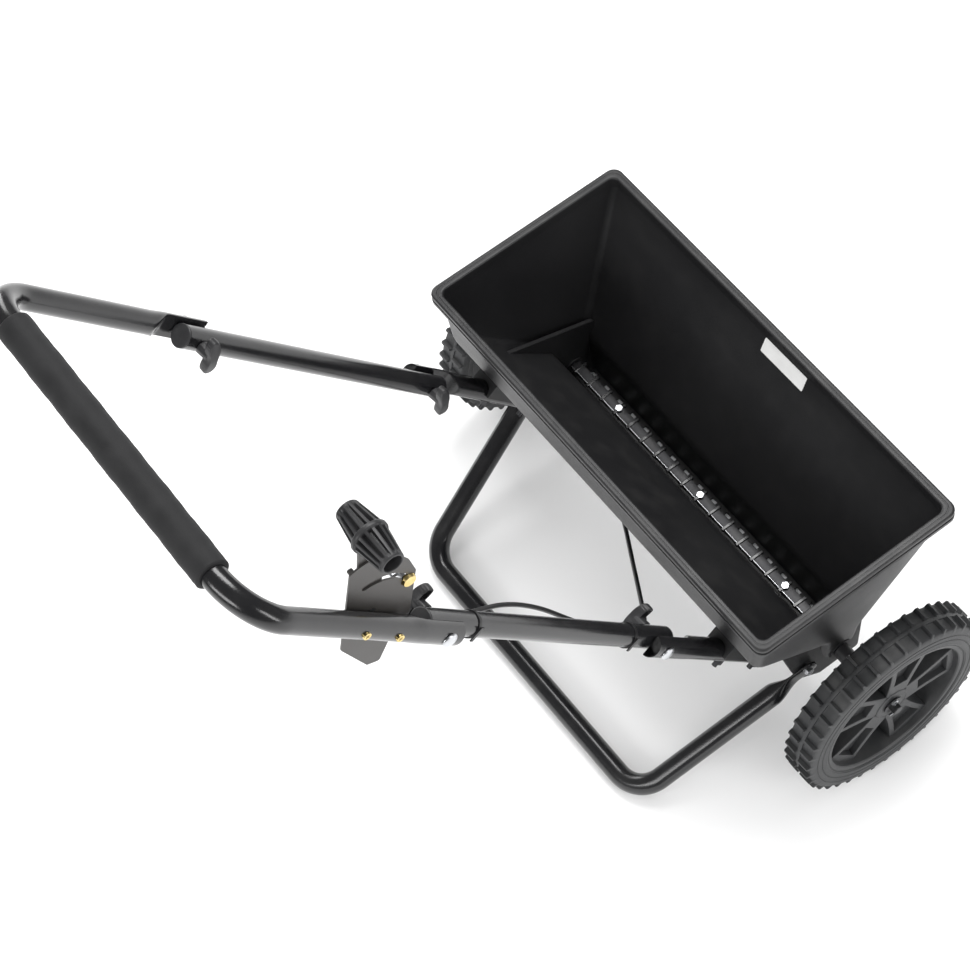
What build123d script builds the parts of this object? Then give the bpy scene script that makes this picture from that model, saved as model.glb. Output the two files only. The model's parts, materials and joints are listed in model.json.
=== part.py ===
"""Push drop spreader: a long plastic hopper on two wheels, with a folding tube handle.

Frame: +X to the right-hand wheel, +Y forward (the way it is pushed), +Z up.
The origin is on the ground, under the middle of the whole machine.
"""
import os
from math import cos, radians, sin, tan

from build123d import *

# ---------------------------------------------------------------- overall sizes
wheel_diameter = 254.0       # over the lug tips
wheel_width = 42.0
wheel_inner_x = 301.5        # inner face of each wheel, from the centre plane
rim_length = 586.0           # hopper rim, over all, along X
rim_rear = 146.0             # hopper rim behind the axle
rim_front = 121.0            # hopper rim ahead of the axle
rim_top = 240.0              # hopper rim above the axle
handle_angle = 54.4          # slope of the handle above the horizontal
fold_rear = 214.0            # lower fold bolt behind the axle
fold_height = 226.0          # lower fold bolt above the axle
middle_length = 400.0        # between the lower and the upper fold bolts
upper_length = 284.0         # from the upper fold bolt to the grip's centre line
arm_x = 200.0                # centre of each middle tube, from the centre plane
grip_diameter = 34.0

# ---------------------------------------------------------------- tubes and fits
tube_diameter = 25.0
tube_wall = 1.2
nest_gap = 0.3               # crushed end to the round tube that it lies against
nest_shift = 12.5            # outer tubes stand this far outside the middle tubes
tail_length = 20.0           # tube past its fold bolt
crush_length = 38.0          # flat stretch of a crushed end, from its bolt
crush_ramp = 27.0            # length over which the crushed end opens to full round
body_gap = 0.3               # clearance between faces that move past each other
running_fit = 0.05           # radial play of a shaft in its bush
bolt_diameter = 6.0
bolt_play = 0.1              # radial play of a fixed bolt in its hole
screw_diameter = 4.0

tube_radius = tube_diameter / 2
wheel_radius = wheel_diameter / 2
outer_x = arm_x + nest_shift
grip_radius = grip_diameter / 2
e_y, e_z = -cos(radians(handle_angle)), sin(radians(handle_angle))
handle_top = middle_length + upper_length
grip_rear = fold_rear - e_y * handle_top + grip_radius
axle_y = (grip_rear - wheel_radius) / 2
axle_z = wheel_radius
fold_y = axle_y - fold_rear
fold_z = axle_z + fold_height


def side(x=0.0):
    """Upright plane across the machine: its x is forward and its y is up, from the axle."""
    return Plane(origin=(x, axle_y, axle_z), x_dir=(0, 1, 0), z_dir=(1, 0, 0))


def arm(height=0.0):
    """Plane of the handle: its x runs up the handle from the lower fold, its y is +X."""
    origin = (0, fold_y + e_z * height, fold_z - e_y * height)
    return Plane(origin=origin, x_dir=(0, e_y, e_z), z_dir=(0, e_z, -e_y))


def arm_point(along, x, height=0.0):
    """A point given along the handle, across the machine and out from the handle's plane."""
    return Vector(x, fold_y + e_y * along + e_z * height, fold_z + e_z * along - e_y * height)


def across(along, x, height=0.0):
    """Plane square to X at a point of the handle: its x runs up the handle."""
    return Plane(origin=arm_point(along, x, height), x_dir=(0, e_y, e_z), z_dir=(1, 0, 0))


def save(part, name):
    """Label one finished piece and write it."""
    part.label = name
    export_step(part, f"parts/{name}.step")


os.makedirs("parts", exist_ok=True)

# ---------------------------------------------------------------- hopper
wall = 3.0
rim_height = 15.0
rim_overhang = 8.0
rim_groove = 1.6             # depth of the groove round the rim
rim_corner = 12.0
rear_wall_foot = 160.0       # where the upright rear wall turns into the slope
rear_knee = 50.0             # where the rear slope meets the trough
front_knee = 36.0            # where the front wall meets the trough
trough_half = 28.0           # half the trough's outside width
trough_floor = 27.0          # underside of the trough below the axle
end_slope = 0.17             # how far each end wall leans out per height
end_foot = 246.0             # outside of the end walls at the axle's height

hole_pitch = 25.4
hole_count = 19
hole_row = 17.0              # each row of feed holes from the centre line
hole_length = 9.0
hole_width = 8.0

axle_diameter = 12.0
bush_radius = 11.0
bush_collar = 15.0           # radius of the bush's collar
bracket_thickness = 5.0

rear_top = rim_rear - rim_overhang
front_top = rim_front - rim_overhang
wall_top = rim_top - rim_height
front_lean = (front_top - trough_half) / (wall_top - front_knee)
front_wall = wall * (1 + front_lean**2) ** 0.5     # front wall measured along Y

# seats under the rear slope for the lower tubes
seat_width = 32.0
seat_start = 118.0           # along the tube below the fold bolt
seat_end = 238.0
seat_bolts = (146.0, 226.0)
seat_bolt_reach = 26.0       # how far each seat bolt stands up from the tube's centre line
seat_cover = 30.0            # seat above its bolts, inside the slope
lower_length = 245.0         # lower tube below its fold bolt

# end brackets that carry the axle and the stand
stand_bolt_y = -48.0         # from the axle
stand_bolt_z = 12.0
bracket_rear = 62.0          # bracket behind the trough, at its top
bracket_rise = 66.0          # bracket above the rear knee
bracket_margin = 16.0        # bracket round the stand's bolt


def end_plane(x_sign, inset):
    """Plane of an end wall, facing outward, moved inward by the given wall."""
    normal = Vector(x_sign, 0, -end_slope).normalized()
    start = Vector(x_sign * end_foot, axle_y, axle_z) - normal * inset
    return Plane(origin=start, x_dir=(0, 1, 0), z_dir=normal)


with BuildPart() as hopper_outside:
    with BuildSketch(side()) as hopper_section:
        with BuildLine():
            Polyline(
                (-rear_top, wall_top),
                (-rear_top, rear_wall_foot),
                (-trough_half, rear_knee),
                (-trough_half, -trough_floor),
                (trough_half, -trough_floor),
                (trough_half, front_knee),
                (front_top, wall_top),
                close=True,
            )
        make_face()
    extrude(amount=rim_length / 2, both=True)
    for x_sign in (-1, 1):
        split(bisect_by=end_plane(x_sign, 0), keep=Keep.BOTTOM)

with BuildPart() as hopper_inside:
    with BuildSketch(side()):
        add(hopper_section.sketch_local)
        offset(amount=-wall, kind=Kind.INTERSECTION, mode=Mode.REPLACE)
    extrude(amount=rim_length / 2, both=True)
    with BuildSketch(side()):
        with BuildLine():
            Polyline(
                (-rear_top + wall, wall_top - 2 * wall),
                (-rear_top + wall, rim_top + 1),
                (front_top - front_wall + front_lean * (rim_height + 1), rim_top + 1),
                (front_top - front_wall - 2 * wall * front_lean, wall_top - 2 * wall),
                close=True,
            )
        make_face()
    extrude(amount=rim_length / 2, both=True)
    for x_sign in (-1, 1):
        split(bisect_by=end_plane(x_sign, wall), keep=Keep.BOTTOM)

with BuildPart() as hopper:
    add(hopper_outside.part)
    # rim: a thick band round the mouth with a groove along its outside
    rim_y = (rim_front - rim_rear) / 2 + axle_y
    with BuildSketch(Plane.XY.offset(axle_z + wall_top)):
        with Locations((0, rim_y)):
            RectangleRounded(rim_length, rim_front + rim_rear, rim_corner)
    extrude(amount=rim_height)
    with BuildSketch(Plane.XY.offset(axle_z + wall_top + rim_height * 0.4)):
        with Locations((0, rim_y)):
            RectangleRounded(rim_length + 1, rim_front + rim_rear + 1, rim_corner)
            RectangleRounded(
                rim_length - 2 * rim_groove,
                rim_front + rim_rear - 2 * rim_groove,
                rim_corner - rim_groove,
                mode=Mode.SUBTRACT,
            )
    extrude(amount=rim_height * 0.2, mode=Mode.SUBTRACT)
    # seats under the rear slope, one for each lower tube
    for x_sign in (-1, 1):
        with BuildSketch(side(x_sign * outer_x - seat_width / 2)):
            with BuildLine():
                seat_top = seat_bolt_reach + seat_cover
                corners = [
                    arm_point(-seat_start, 0),
                    arm_point(-seat_end, 0),
                    arm_point(-seat_end, 0, seat_top),
                    arm_point(-seat_start, 0, seat_top),
                ]
                Polyline(*[(c.Y - axle_y, c.Z - axle_z) for c in corners], close=True)
            make_face()
        extrude(amount=seat_width)
    for x_sign in (-1, 1):
        channel_start = arm_point(-lower_length - 5, x_sign * outer_x)
        with BuildSketch(Plane(origin=channel_start, z_dir=(0, e_y, e_z))):
            Circle(tube_radius)
        extrude(amount=lower_length - tail_length, mode=Mode.SUBTRACT)
    # end brackets, hanging from the end walls round the axle
    for x_sign in (-1, 1):
        with BuildSketch(side(x_sign * (end_foot - bracket_thickness / 2))):
            with BuildLine():
                Polyline(
                    (-trough_half - bracket_rear, rear_knee + bracket_rise),
                    (stand_bolt_y - bracket_margin, stand_bolt_z + bracket_margin / 4),
                    (stand_bolt_y - bracket_margin / 2, stand_bolt_z - bracket_margin + 2),
                    (-trough_half, -trough_floor),
                    (trough_half, -trough_floor),
                    (trough_half + 8, front_knee + 30),
                    close=True,
                )
            make_face()
        extrude(amount=bracket_thickness / 2, both=True)
    add(hopper_inside.part, mode=Mode.SUBTRACT)
    # feed holes in the floor of the trough
    with BuildSketch(Plane(origin=(0, axle_y, axle_z - trough_floor - 1))):
        with GridLocations(hole_pitch, 2 * hole_row, hole_count, 2):
            Rectangle(hole_length, hole_width)
    extrude(amount=wall + 2, mode=Mode.SUBTRACT)
    # bush holes, stand bolt holes and seat bolt holes
    with BuildSketch(side(-rim_length / 2)):
        Circle(bush_radius)
        with Locations((stand_bolt_y, stand_bolt_z)):
            Circle(bolt_diameter / 2 + bolt_play)
    extrude(amount=rim_length, mode=Mode.SUBTRACT)
    for x_sign in (-1, 1):
        with BuildSketch(side(x_sign * end_foot)):
            Circle(bush_collar)
        extrude(amount=x_sign * bush_collar, mode=Mode.SUBTRACT)
        with BuildSketch(arm(-tube_radius)):
            with Locations(*[(-below, x_sign * outer_x) for below in seat_bolts]):
                Circle(bolt_diameter / 2 + bolt_play)
        extrude(amount=seat_bolt_reach + tube_radius + 1, mode=Mode.SUBTRACT)
save(hopper.part, "hopper")

# ---------------------------------------------------------------- label
label_length = 70.0
label_height = 20.0
label_x = 25.0
label_thickness = 0.6
label_corner = 1.5
label_drop = 10.0            # label's middle below the walls' top edge
with BuildPart() as label:
    label_z = wall_top - label_drop
    inside_y = front_top - label_drop * front_lean - front_wall
    label_plane = Plane(
        origin=(label_x, axle_y + inside_y, axle_z + label_z),
        x_dir=(1, 0, 0),
        z_dir=(0, -1, front_lean),
    )
    with BuildSketch(label_plane):
        RectangleRounded(label_length, label_height, label_corner)
    extrude(amount=label_thickness)
save(label.part, "blank_label")

# ---------------------------------------------------------------- gate under the floor
gate_length = 488.0
gate_half = 24.4
gate_thickness = 2.0
gate_top = -trough_floor - body_gap
gate_lug_x = 62.0            # lug under the gate that the inner wire pulls
gate_lug_thickness = 4.0
gate_lug_width = 16.0
gate_lug_drop = 17.0
wire_radius = 0.9
wire_head_radius = 3.0
wire_head_length = 4.0
wire_y = -2.0
wire_drop = 9.0              # inner wire below the gate
wire_z = gate_top - gate_thickness - wire_drop
wire_start = -26.0
ferrule_start = -46.0
ferrule_end = -4.0
ferrule_floor = 4.0          # closed end of the ferrule

with BuildPart() as gate:
    with BuildSketch(Plane(origin=(0, axle_y, axle_z + gate_top - gate_thickness))):
        Rectangle(gate_length, 2 * gate_half)
        with Locations((hole_pitch / 2, 0)):
            with GridLocations(hole_pitch, 2 * hole_row, hole_count, 2):
                Rectangle(hole_length + 1, hole_width + 1, mode=Mode.SUBTRACT)
    extrude(amount=gate_thickness)
    lug_z = axle_z + gate_top - gate_thickness
    with BuildSketch(Plane.XY.offset(lug_z)):
        with Locations((gate_lug_x, axle_y)):
            Rectangle(gate_lug_thickness, gate_lug_width)
    extrude(amount=-gate_lug_drop)
    with BuildSketch(side(gate_lug_x - gate_lug_thickness)):
        with Locations((wire_y, wire_z)):
            Circle(wire_radius)
    extrude(amount=2 * gate_lug_thickness, mode=Mode.SUBTRACT)
save(gate.part, "gate_plate")

wire_head_x = gate_lug_x + gate_lug_thickness / 2

with BuildPart() as gate_wire:
    with BuildSketch(side(wire_start)):
        with Locations((wire_y, wire_z)):
            Circle(wire_radius)
    extrude(amount=wire_head_x - wire_start)
    with BuildSketch(side(wire_head_x)):
        with Locations((wire_y, wire_z)):
            Circle(wire_head_radius)
    extrude(amount=wire_head_length)
save(gate_wire.part, "gate_wire")

rail_thickness = 2.0
rail_lip = 3.0               # how far each rail reaches under the gate
rail_y = gate_half + body_gap
rail_bottom = gate_top - gate_thickness - body_gap
with BuildPart() as gate_rails:
    for y_sign in (-1, 1):
        with BuildSketch(side()):
            with BuildLine():
                Polyline(
                    (y_sign * rail_y, -trough_floor),
                    (y_sign * (rail_y + rail_thickness), -trough_floor),
                    (y_sign * (rail_y + rail_thickness), rail_bottom - rail_thickness),
                    (y_sign * (rail_y - rail_lip), rail_bottom - rail_thickness),
                    (y_sign * (rail_y - rail_lip), rail_bottom),
                    (y_sign * rail_y, rail_bottom),
                    close=True,
                )
            make_face()
        extrude(amount=gate_length / 2, both=True)
save(gate_rails.part, "gate_rails")

# bracket that holds the end of the control cable behind the trough
cable_radius = 2.5
ferrule_radius = 3.4
bracket_sheet = 3.0
holder_x = ferrule_end - 14  # the bracket's sheet, along the ferrule
holder_top = -4.0            # from the axle's height
holder_reach = 20.0          # sheet behind the trough
holder_margin = 8.0          # sheet round the ferrule
holder_foot = 22.0           # tab that lies against the trough
holder_foot_height = 12.0
with BuildPart() as cable_bracket:
    with BuildSketch(side(holder_x)):
        with BuildLine():
            Polyline(
                (-trough_half, holder_top),
                (-trough_half - holder_reach, holder_top),
                (-trough_half - holder_reach, wire_z - holder_margin),
                (wire_y + holder_margin, wire_z - holder_margin),
                (wire_y + holder_margin, wire_z + 5),
                (-trough_half, wire_z + 5),
                close=True,
            )
        make_face()
        with Locations((wire_y, wire_z)):
            Circle(ferrule_radius, mode=Mode.SUBTRACT)
    extrude(amount=bracket_sheet)
    with BuildSketch(side(holder_x - holder_foot)):
        with Locations((-trough_half - bracket_sheet / 2, holder_top - holder_foot_height / 2)):
            Rectangle(bracket_sheet, holder_foot_height)
    extrude(amount=holder_foot)
save(cable_bracket.part, "cable_bracket")

with BuildPart() as ferrule:
    with BuildSketch(side(ferrule_start)):
        with Locations((wire_y, wire_z)):
            Circle(ferrule_radius)
    extrude(amount=ferrule_end - ferrule_start)
    with BuildSketch(side(ferrule_start + ferrule_floor)):
        with Locations((wire_y, wire_z)):
            Circle(wire_radius + running_fit)
    extrude(amount=ferrule_end - ferrule_start, mode=Mode.SUBTRACT)
save(ferrule.part, "cable_ferrule")

# ---------------------------------------------------------------- axle and its bushes
axle_tip = 346.0             # each end of the axle from the centre plane
axle_radius = axle_diameter / 2
collar_thickness = 3.0
cotter_radius = 1.6
hub_shoulder = 8.0           # hub's outer face inside the wheel's outer face
washer_thickness = 1.6
washer_x = wheel_inner_x + wheel_width - hub_shoulder + body_gap
cotter_x = washer_x + washer_thickness + cotter_radius + 2 * body_gap
agitator_bolt_radius = 2.5
agitator_bolt_x = (-6 * hole_pitch, 0.0, 6 * hole_pitch)
drive_pin_x = wheel_inner_x + 6
axle_chamfer = 0.8
spacer_wall = 4.0

with BuildPart() as axle:
    with BuildSketch(side(-axle_tip)):
        Circle(axle_radius)
    extrude(amount=2 * axle_tip)
    chamfer(axle.faces().filter_by(Axis.X).edges(), axle_chamfer)
    with BuildSketch(Plane.XY.offset(axle_z)):
        with Locations((0, axle_y)):
            with Locations(*[(x, 0) for x in agitator_bolt_x]):
                Circle(agitator_bolt_radius)
            with Locations((cotter_x, 0), (-cotter_x, 0), (drive_pin_x, 0)):
                Circle(cotter_radius)
    extrude(amount=axle_radius + 1, both=True, mode=Mode.SUBTRACT)
save(axle.part, "axle")

for name, x_sign in (("left", -1), ("right", 1)):
    with BuildPart() as bush:
        with BuildSketch(side(x_sign * (end_foot - bracket_thickness - 2))):
            Circle(bush_radius)
            Circle(axle_radius + running_fit, mode=Mode.SUBTRACT)
        extrude(amount=x_sign * (bracket_thickness + 2))
        with BuildSketch(side(x_sign * end_foot)):
            Circle(bush_collar)
            Circle(axle_radius + running_fit, mode=Mode.SUBTRACT)
        extrude(amount=x_sign * collar_thickness)
    save(bush.part, f"bush_{name}")

spacer_start = end_foot + collar_thickness + body_gap
spacer_end = wheel_inner_x - body_gap
with BuildPart() as spacers:
    for x_sign in (-1, 1):
        with BuildSketch(side(x_sign * spacer_start)):
            Circle(axle_radius + spacer_wall)
            Circle(axle_radius, mode=Mode.SUBTRACT)
        extrude(amount=x_sign * (spacer_end - spacer_start))
save(spacers.part, "axle_spacers")

# ---------------------------------------------------------------- agitator
strip_half = 6.0
strip_top = 9.0
strip_bottom = 2.0
tine_reach = 8.5
tine_width = 5.0
tine_thickness = 5.0
tine_lift = 3.5              # fingers above the strip's lower edge
tine_root = 2.0              # finger inside the strip
agitator_hex = 4.6           # corner radius of the bolts' heads and nuts
agitator_head = 3.5
agitator_nut = 4.0
strip_length = (hole_count - 1) * hole_pitch + 16
with BuildPart() as agitator:
    with BuildSketch(side()):
        with Locations((0, (strip_top + strip_bottom) / 2)):
            Rectangle(2 * strip_half, strip_top - strip_bottom)
        Circle(axle_radius, mode=Mode.SUBTRACT)
    extrude(amount=strip_length / 2, both=True)
    with BuildSketch(Plane(origin=(0, axle_y, axle_z + strip_bottom + tine_lift))):
        with GridLocations(hole_pitch, strip_half + tine_reach, hole_count, 2):
            Rectangle(tine_width, tine_reach - strip_half + tine_root)
    extrude(amount=tine_thickness)
    with BuildSketch(Plane.XY.offset(axle_z)):
        with Locations(*[(x, axle_y) for x in agitator_bolt_x]):
            Circle(agitator_bolt_radius)
    extrude(amount=strip_top + 1, mode=Mode.SUBTRACT)
save(agitator.part, "agitator")

with BuildPart() as agitator_bolts:
    with BuildSketch(Plane.XY.offset(axle_z - axle_radius - agitator_nut - 2)):
        with Locations(*[(x, axle_y) for x in agitator_bolt_x]):
            Circle(agitator_bolt_radius)
    extrude(amount=strip_top + axle_radius + agitator_nut + 2)
    with BuildSketch(Plane.XY.offset(axle_z + strip_top)):
        with Locations(*[(x, axle_y) for x in agitator_bolt_x]):
            RegularPolygon(agitator_hex, 6)
    extrude(amount=agitator_head)
    with BuildSketch(Plane.XY.offset(axle_z - axle_radius)):
        with Locations(*[(x, axle_y) for x in agitator_bolt_x]):
            RegularPolygon(agitator_hex, 6)
    extrude(amount=-agitator_nut)
save(agitator_bolts.part, "agitator_bolts")

# ---------------------------------------------------------------- wheels
lug_count = 40
lug_height = 5.0
lug_width = 5.0
lug_row_length = 17.0
lug_band = 5.0               # raised band between the two rows of lugs
band_rise = 1.5              # band above the tread's base
shoulder_drop = 4.0          # tread's side rings below its base
side_grooves = (106.0, 112.0)
sidewall_radius = wheel_radius - lug_height
rim_outer_radius = 99.0
rim_inner_radius = 90.0
hub_radius = 22.0
spoke_count = 5
pocket_depth = 8.0
spoke_face = 9.0             # the spokes' outer face inside the wheel's outer face
pocket_wall = 5.0
spoke_start = hub_radius - 6
spoke_end = rim_inner_radius + 2
spoke_foot = 16.0            # half-width of a spoke at the hub
spoke_head = 30.0            # half-width of a spoke at the rim


def spoke_shape(inset):
    """Outline of one spoke, moved inward by the given wall."""
    return [
        (spoke_start + 3 * inset, -spoke_foot + inset),
        (spoke_end - 2 * inset, -spoke_head + inset),
        (spoke_end - 2 * inset, spoke_head - inset),
        (spoke_start + 3 * inset, spoke_foot - inset),
    ]


def wheel(x_sign, bore):
    """Moulded wheel: hub, five wide hollow spokes and the rim ring."""
    inner_plane = side(x_sign * wheel_inner_x)
    with BuildPart() as body:
        with BuildSketch(inner_plane):
            Circle(rim_outer_radius)
            Circle(rim_inner_radius, mode=Mode.SUBTRACT)
        extrude(amount=x_sign * wheel_width)
        with BuildSketch(inner_plane):
            Circle(hub_radius)
        extrude(amount=x_sign * (wheel_width - hub_shoulder))
        with BuildSketch(side(x_sign * (wheel_inner_x + spoke_face))):
            with PolarLocations(0, spoke_count, start_angle=90):
                Polygon(*spoke_shape(0), align=None)
        extrude(amount=x_sign * (wheel_width - 2 * spoke_face))
        pocket_faces = ((wheel_inner_x + wheel_width - spoke_face, -1), (wheel_inner_x + spoke_face, 1))
        for face_x, depth in pocket_faces:
            with BuildSketch(side(x_sign * face_x)):
                with PolarLocations(0, spoke_count, start_angle=90):
                    Polygon(*spoke_shape(pocket_wall), align=None)
                Circle(hub_radius + pocket_wall, mode=Mode.SUBTRACT)
                Circle(rim_inner_radius - 1, mode=Mode.INTERSECT)
            extrude(amount=x_sign * depth * pocket_depth, mode=Mode.SUBTRACT)
        with BuildSketch(side(x_sign * (wheel_inner_x - 1))):
            Circle(bore)
        extrude(amount=x_sign * (wheel_width + 2), mode=Mode.SUBTRACT)
    return body.part


def tyre(x_sign):
    """Tread ring: a smooth band with two rows of lugs, the outer row half a pitch on from the
    other, a raised middle band and ringed sides."""
    middle = x_sign * (wheel_inner_x + wheel_width / 2)
    with BuildPart() as body:
        with BuildSketch(side(middle)):
            Circle(sidewall_radius)
            Circle(rim_outer_radius, mode=Mode.SUBTRACT)
        extrude(amount=wheel_width / 2 - 2, both=True)
        with BuildSketch(side(middle)):
            Circle(sidewall_radius - shoulder_drop)
            Circle(rim_outer_radius, mode=Mode.SUBTRACT)
        extrude(amount=wheel_width / 2, both=True)
        with BuildSketch(side(middle)):
            Circle(sidewall_radius + band_rise)
            Circle(sidewall_radius - 1, mode=Mode.SUBTRACT)
        extrude(amount=lug_band / 2, both=True)
        for row_sign, half_pitches in ((-1, 0), (1, 1)):
            row_middle = middle + row_sign * x_sign * (lug_band + lug_row_length) / 2
            first_lug = -90 + half_pitches * 180 / lug_count
            with BuildSketch(side(row_middle)):
                with PolarLocations(0, lug_count, start_angle=first_lug):
                    with Locations((wheel_radius - lug_height - 1, 0)):
                        Rectangle(lug_height + 2, lug_width, align=(Align.MIN, Align.CENTER))
                Circle(wheel_radius, mode=Mode.INTERSECT)
            extrude(amount=lug_row_length / 2, both=True)
        for ring_radius in side_grooves:
            for ring_sign in (-1, 1):
                with BuildSketch(side(middle + ring_sign * wheel_width / 2)):
                    Circle(ring_radius + 1)
                    Circle(ring_radius, mode=Mode.SUBTRACT)
                extrude(amount=-ring_sign, mode=Mode.SUBTRACT)
    return body.part


for name, x_sign, bore in (("free", -1, axle_radius + running_fit), ("drive", 1, axle_radius)):
    save(wheel(x_sign, bore), f"{name}_wheel")
    save(tyre(x_sign), f"{name}_wheel_tread")

washer_radius = 12.0
with BuildPart() as washers:
    for x_sign in (-1, 1):
        with BuildSketch(side(x_sign * washer_x)):
            Circle(washer_radius)
            Circle(axle_radius, mode=Mode.SUBTRACT)
        extrude(amount=x_sign * washer_thickness)
save(washers.part, "axle_washers")

# each cotter pin: a round shank through the axle, an eye above it and two bent legs below
eye_radius = 4.2
eye_hole = 2.0
eye_centre = axle_radius + eye_radius + 1
leg_length = 8.0
leg_thickness = 1.6
with BuildPart() as cotters:
    for x_sign in (-1, 1):
        pin_plane = side(x_sign * cotter_x)
        with BuildSketch(Plane.XY.offset(axle_z - axle_radius - 6)):
            with Locations((x_sign * cotter_x, axle_y)):
                Circle(cotter_radius)
        extrude(amount=2 * axle_radius + 8)
        with BuildSketch(pin_plane):
            with Locations((0, eye_centre)):
                Circle(eye_radius)
                Circle(eye_hole, mode=Mode.SUBTRACT)
        extrude(amount=cotter_radius * 0.7, both=True)
        with BuildSketch(pin_plane):
            leg_y = leg_length / 2 - 0.5
            leg_z = -axle_radius - 5.5
            with Locations((-leg_y, leg_z), (leg_y, leg_z)):
                Rectangle(leg_length, leg_thickness)
        extrude(amount=cotter_radius * 0.7, both=True)
save(cotters.part, "cotter_pins")

with BuildPart() as drive_pin:
    with BuildSketch(Plane.XY.offset(axle_z)):
        with Locations((drive_pin_x, axle_y)):
            Circle(cotter_radius)
    extrude(amount=axle_radius - body_gap, both=True)
save(drive_pin.part, "drive_pin")

# ---------------------------------------------------------------- stand
stand_base_x = 202.0         # corners of the stand on the ground
stand_base_y = -258.0        # the base tube, from the axle
stand_bend = 42.0
stand_tab_thickness = 4.0
stand_tab_length = 36.0
stand_tab_half = 12.0
hex_radius = 5.5             # corner radius of the 6 mm bolts' heads and nuts
hex_head = 4.0
hex_nut = 5.0
stand_hang_x = end_foot + stand_tab_thickness / 2 + 0.1
hang = Vector(stand_hang_x, axle_y + stand_bolt_y, axle_z + stand_bolt_z)
foot = Vector(stand_base_x, axle_y + stand_base_y, tube_radius)
leg = (foot - hang).normalized()
leg_start = hang + leg * stand_tab_length


def mirrored(point):
    """The same point on the left-hand side."""
    return Vector(-point.X, point.Y, point.Z)


def tube_along(path_points, radii, radius):
    """Solid rod of the given radius along straight runs joined by arcs."""
    with BuildPart() as rod:
        with BuildLine() as route:
            FilletPolyline(*path_points, radius=radii)
        with BuildSketch(Plane(origin=route.line @ 0, z_dir=route.line % 0)):
            Circle(radius)
        sweep(path=route.line)
    return rod.part


stand_route = [leg_start, foot, mirrored(foot), mirrored(leg_start)]
with BuildPart() as stand:
    add(tube_along(stand_route, stand_bend, tube_radius))
    add(tube_along(stand_route, stand_bend, tube_radius - tube_wall), mode=Mode.SUBTRACT)
    for x_sign in (-1, 1):
        tab_plane = Plane(
            origin=(x_sign * stand_hang_x, hang.Y, hang.Z),
            x_dir=(0, leg.Y, leg.Z),
            z_dir=(x_sign, 0, 0),
        )
        with BuildSketch(tab_plane):
            Circle(stand_tab_half)
            with Locations(((stand_tab_length + 6) / 2, 0)):
                Rectangle(stand_tab_length + 6, 2 * stand_tab_half)
            Circle(bolt_diameter / 2 + bolt_play, mode=Mode.SUBTRACT)
        extrude(amount=stand_tab_thickness / 2, both=True)
save(stand.part, "stand")

with BuildPart() as stand_bolts:
    for x_sign in (-1, 1):
        centre = (stand_bolt_y, stand_bolt_z)
        inner_x = end_foot - bracket_thickness
        outer_face = stand_hang_x + stand_tab_thickness / 2
        bolt_end = inner_x - hex_nut - 3
        with BuildSketch(side(x_sign * bolt_end)):
            with Locations(centre):
                Circle(bolt_diameter / 2)
        extrude(amount=x_sign * (outer_face - bolt_end))
        for face, depth in ((outer_face, hex_head), (inner_x, -hex_nut)):
            with BuildSketch(side(x_sign * face)):
                with Locations(centre):
                    RegularPolygon(hex_radius, 6)
            extrude(amount=x_sign * depth)
save(stand_bolts.part, "stand_bolts")

# ---------------------------------------------------------------- folding handle
upper_bend = 50.0
crush_face = arm_x + tube_radius + nest_gap    # flat face of a crushed end
head_radius = 8.0
head_height = 3.0
head_taper = 35.0            # slope of a carriage bolt's head
knob_gap = 0.4
knob_hub_radius = 7.5
knob_hub_length = 13.0
knob_face_x = arm_x - tube_radius - knob_gap
bolt_end_x = knob_face_x - knob_hub_length + 2
bolt_head_x = outer_x + tube_radius
fold_alongs = {"lower": 0.0, "upper": middle_length}


def crush_tool(along, direction, x_sign, extra):
    """Solid to cut away from a round tube so that its end lies flat against a round one."""
    flat = x_sign * (crush_face + extra)
    deep = x_sign * (outer_x - tube_radius - 1)
    far = along - direction * (tail_length + 5)
    start = along + direction * crush_length
    end = along + direction * (crush_length + crush_ramp)
    with BuildPart() as tool:
        with BuildSketch(arm()):
            with BuildLine():
                Polyline((far, flat), (start, flat), (end, deep), (far, deep), close=True)
            make_face()
        extrude(amount=tube_radius + 5, both=True)
    return tool.part


def along_rod(start, end, x, radius):
    """Solid rod along the handle between two places."""
    with BuildPart() as rod:
        with BuildSketch(Plane(origin=arm_point(start, x), z_dir=(0, e_y, e_z))):
            Circle(radius)
        extrude(amount=end - start)
    return rod.part


def cross_bore(along, x, reach, radius, height=0.0):
    """Solid rod along X, for drilling through tubes at a place on the handle."""
    with BuildPart() as bore:
        with BuildSketch(across(along, x - reach, height)):
            Circle(radius)
        extrude(amount=2 * reach)
    return bore.part


screw_alongs = (middle_length + 79.0, middle_length + 129.0)

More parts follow.
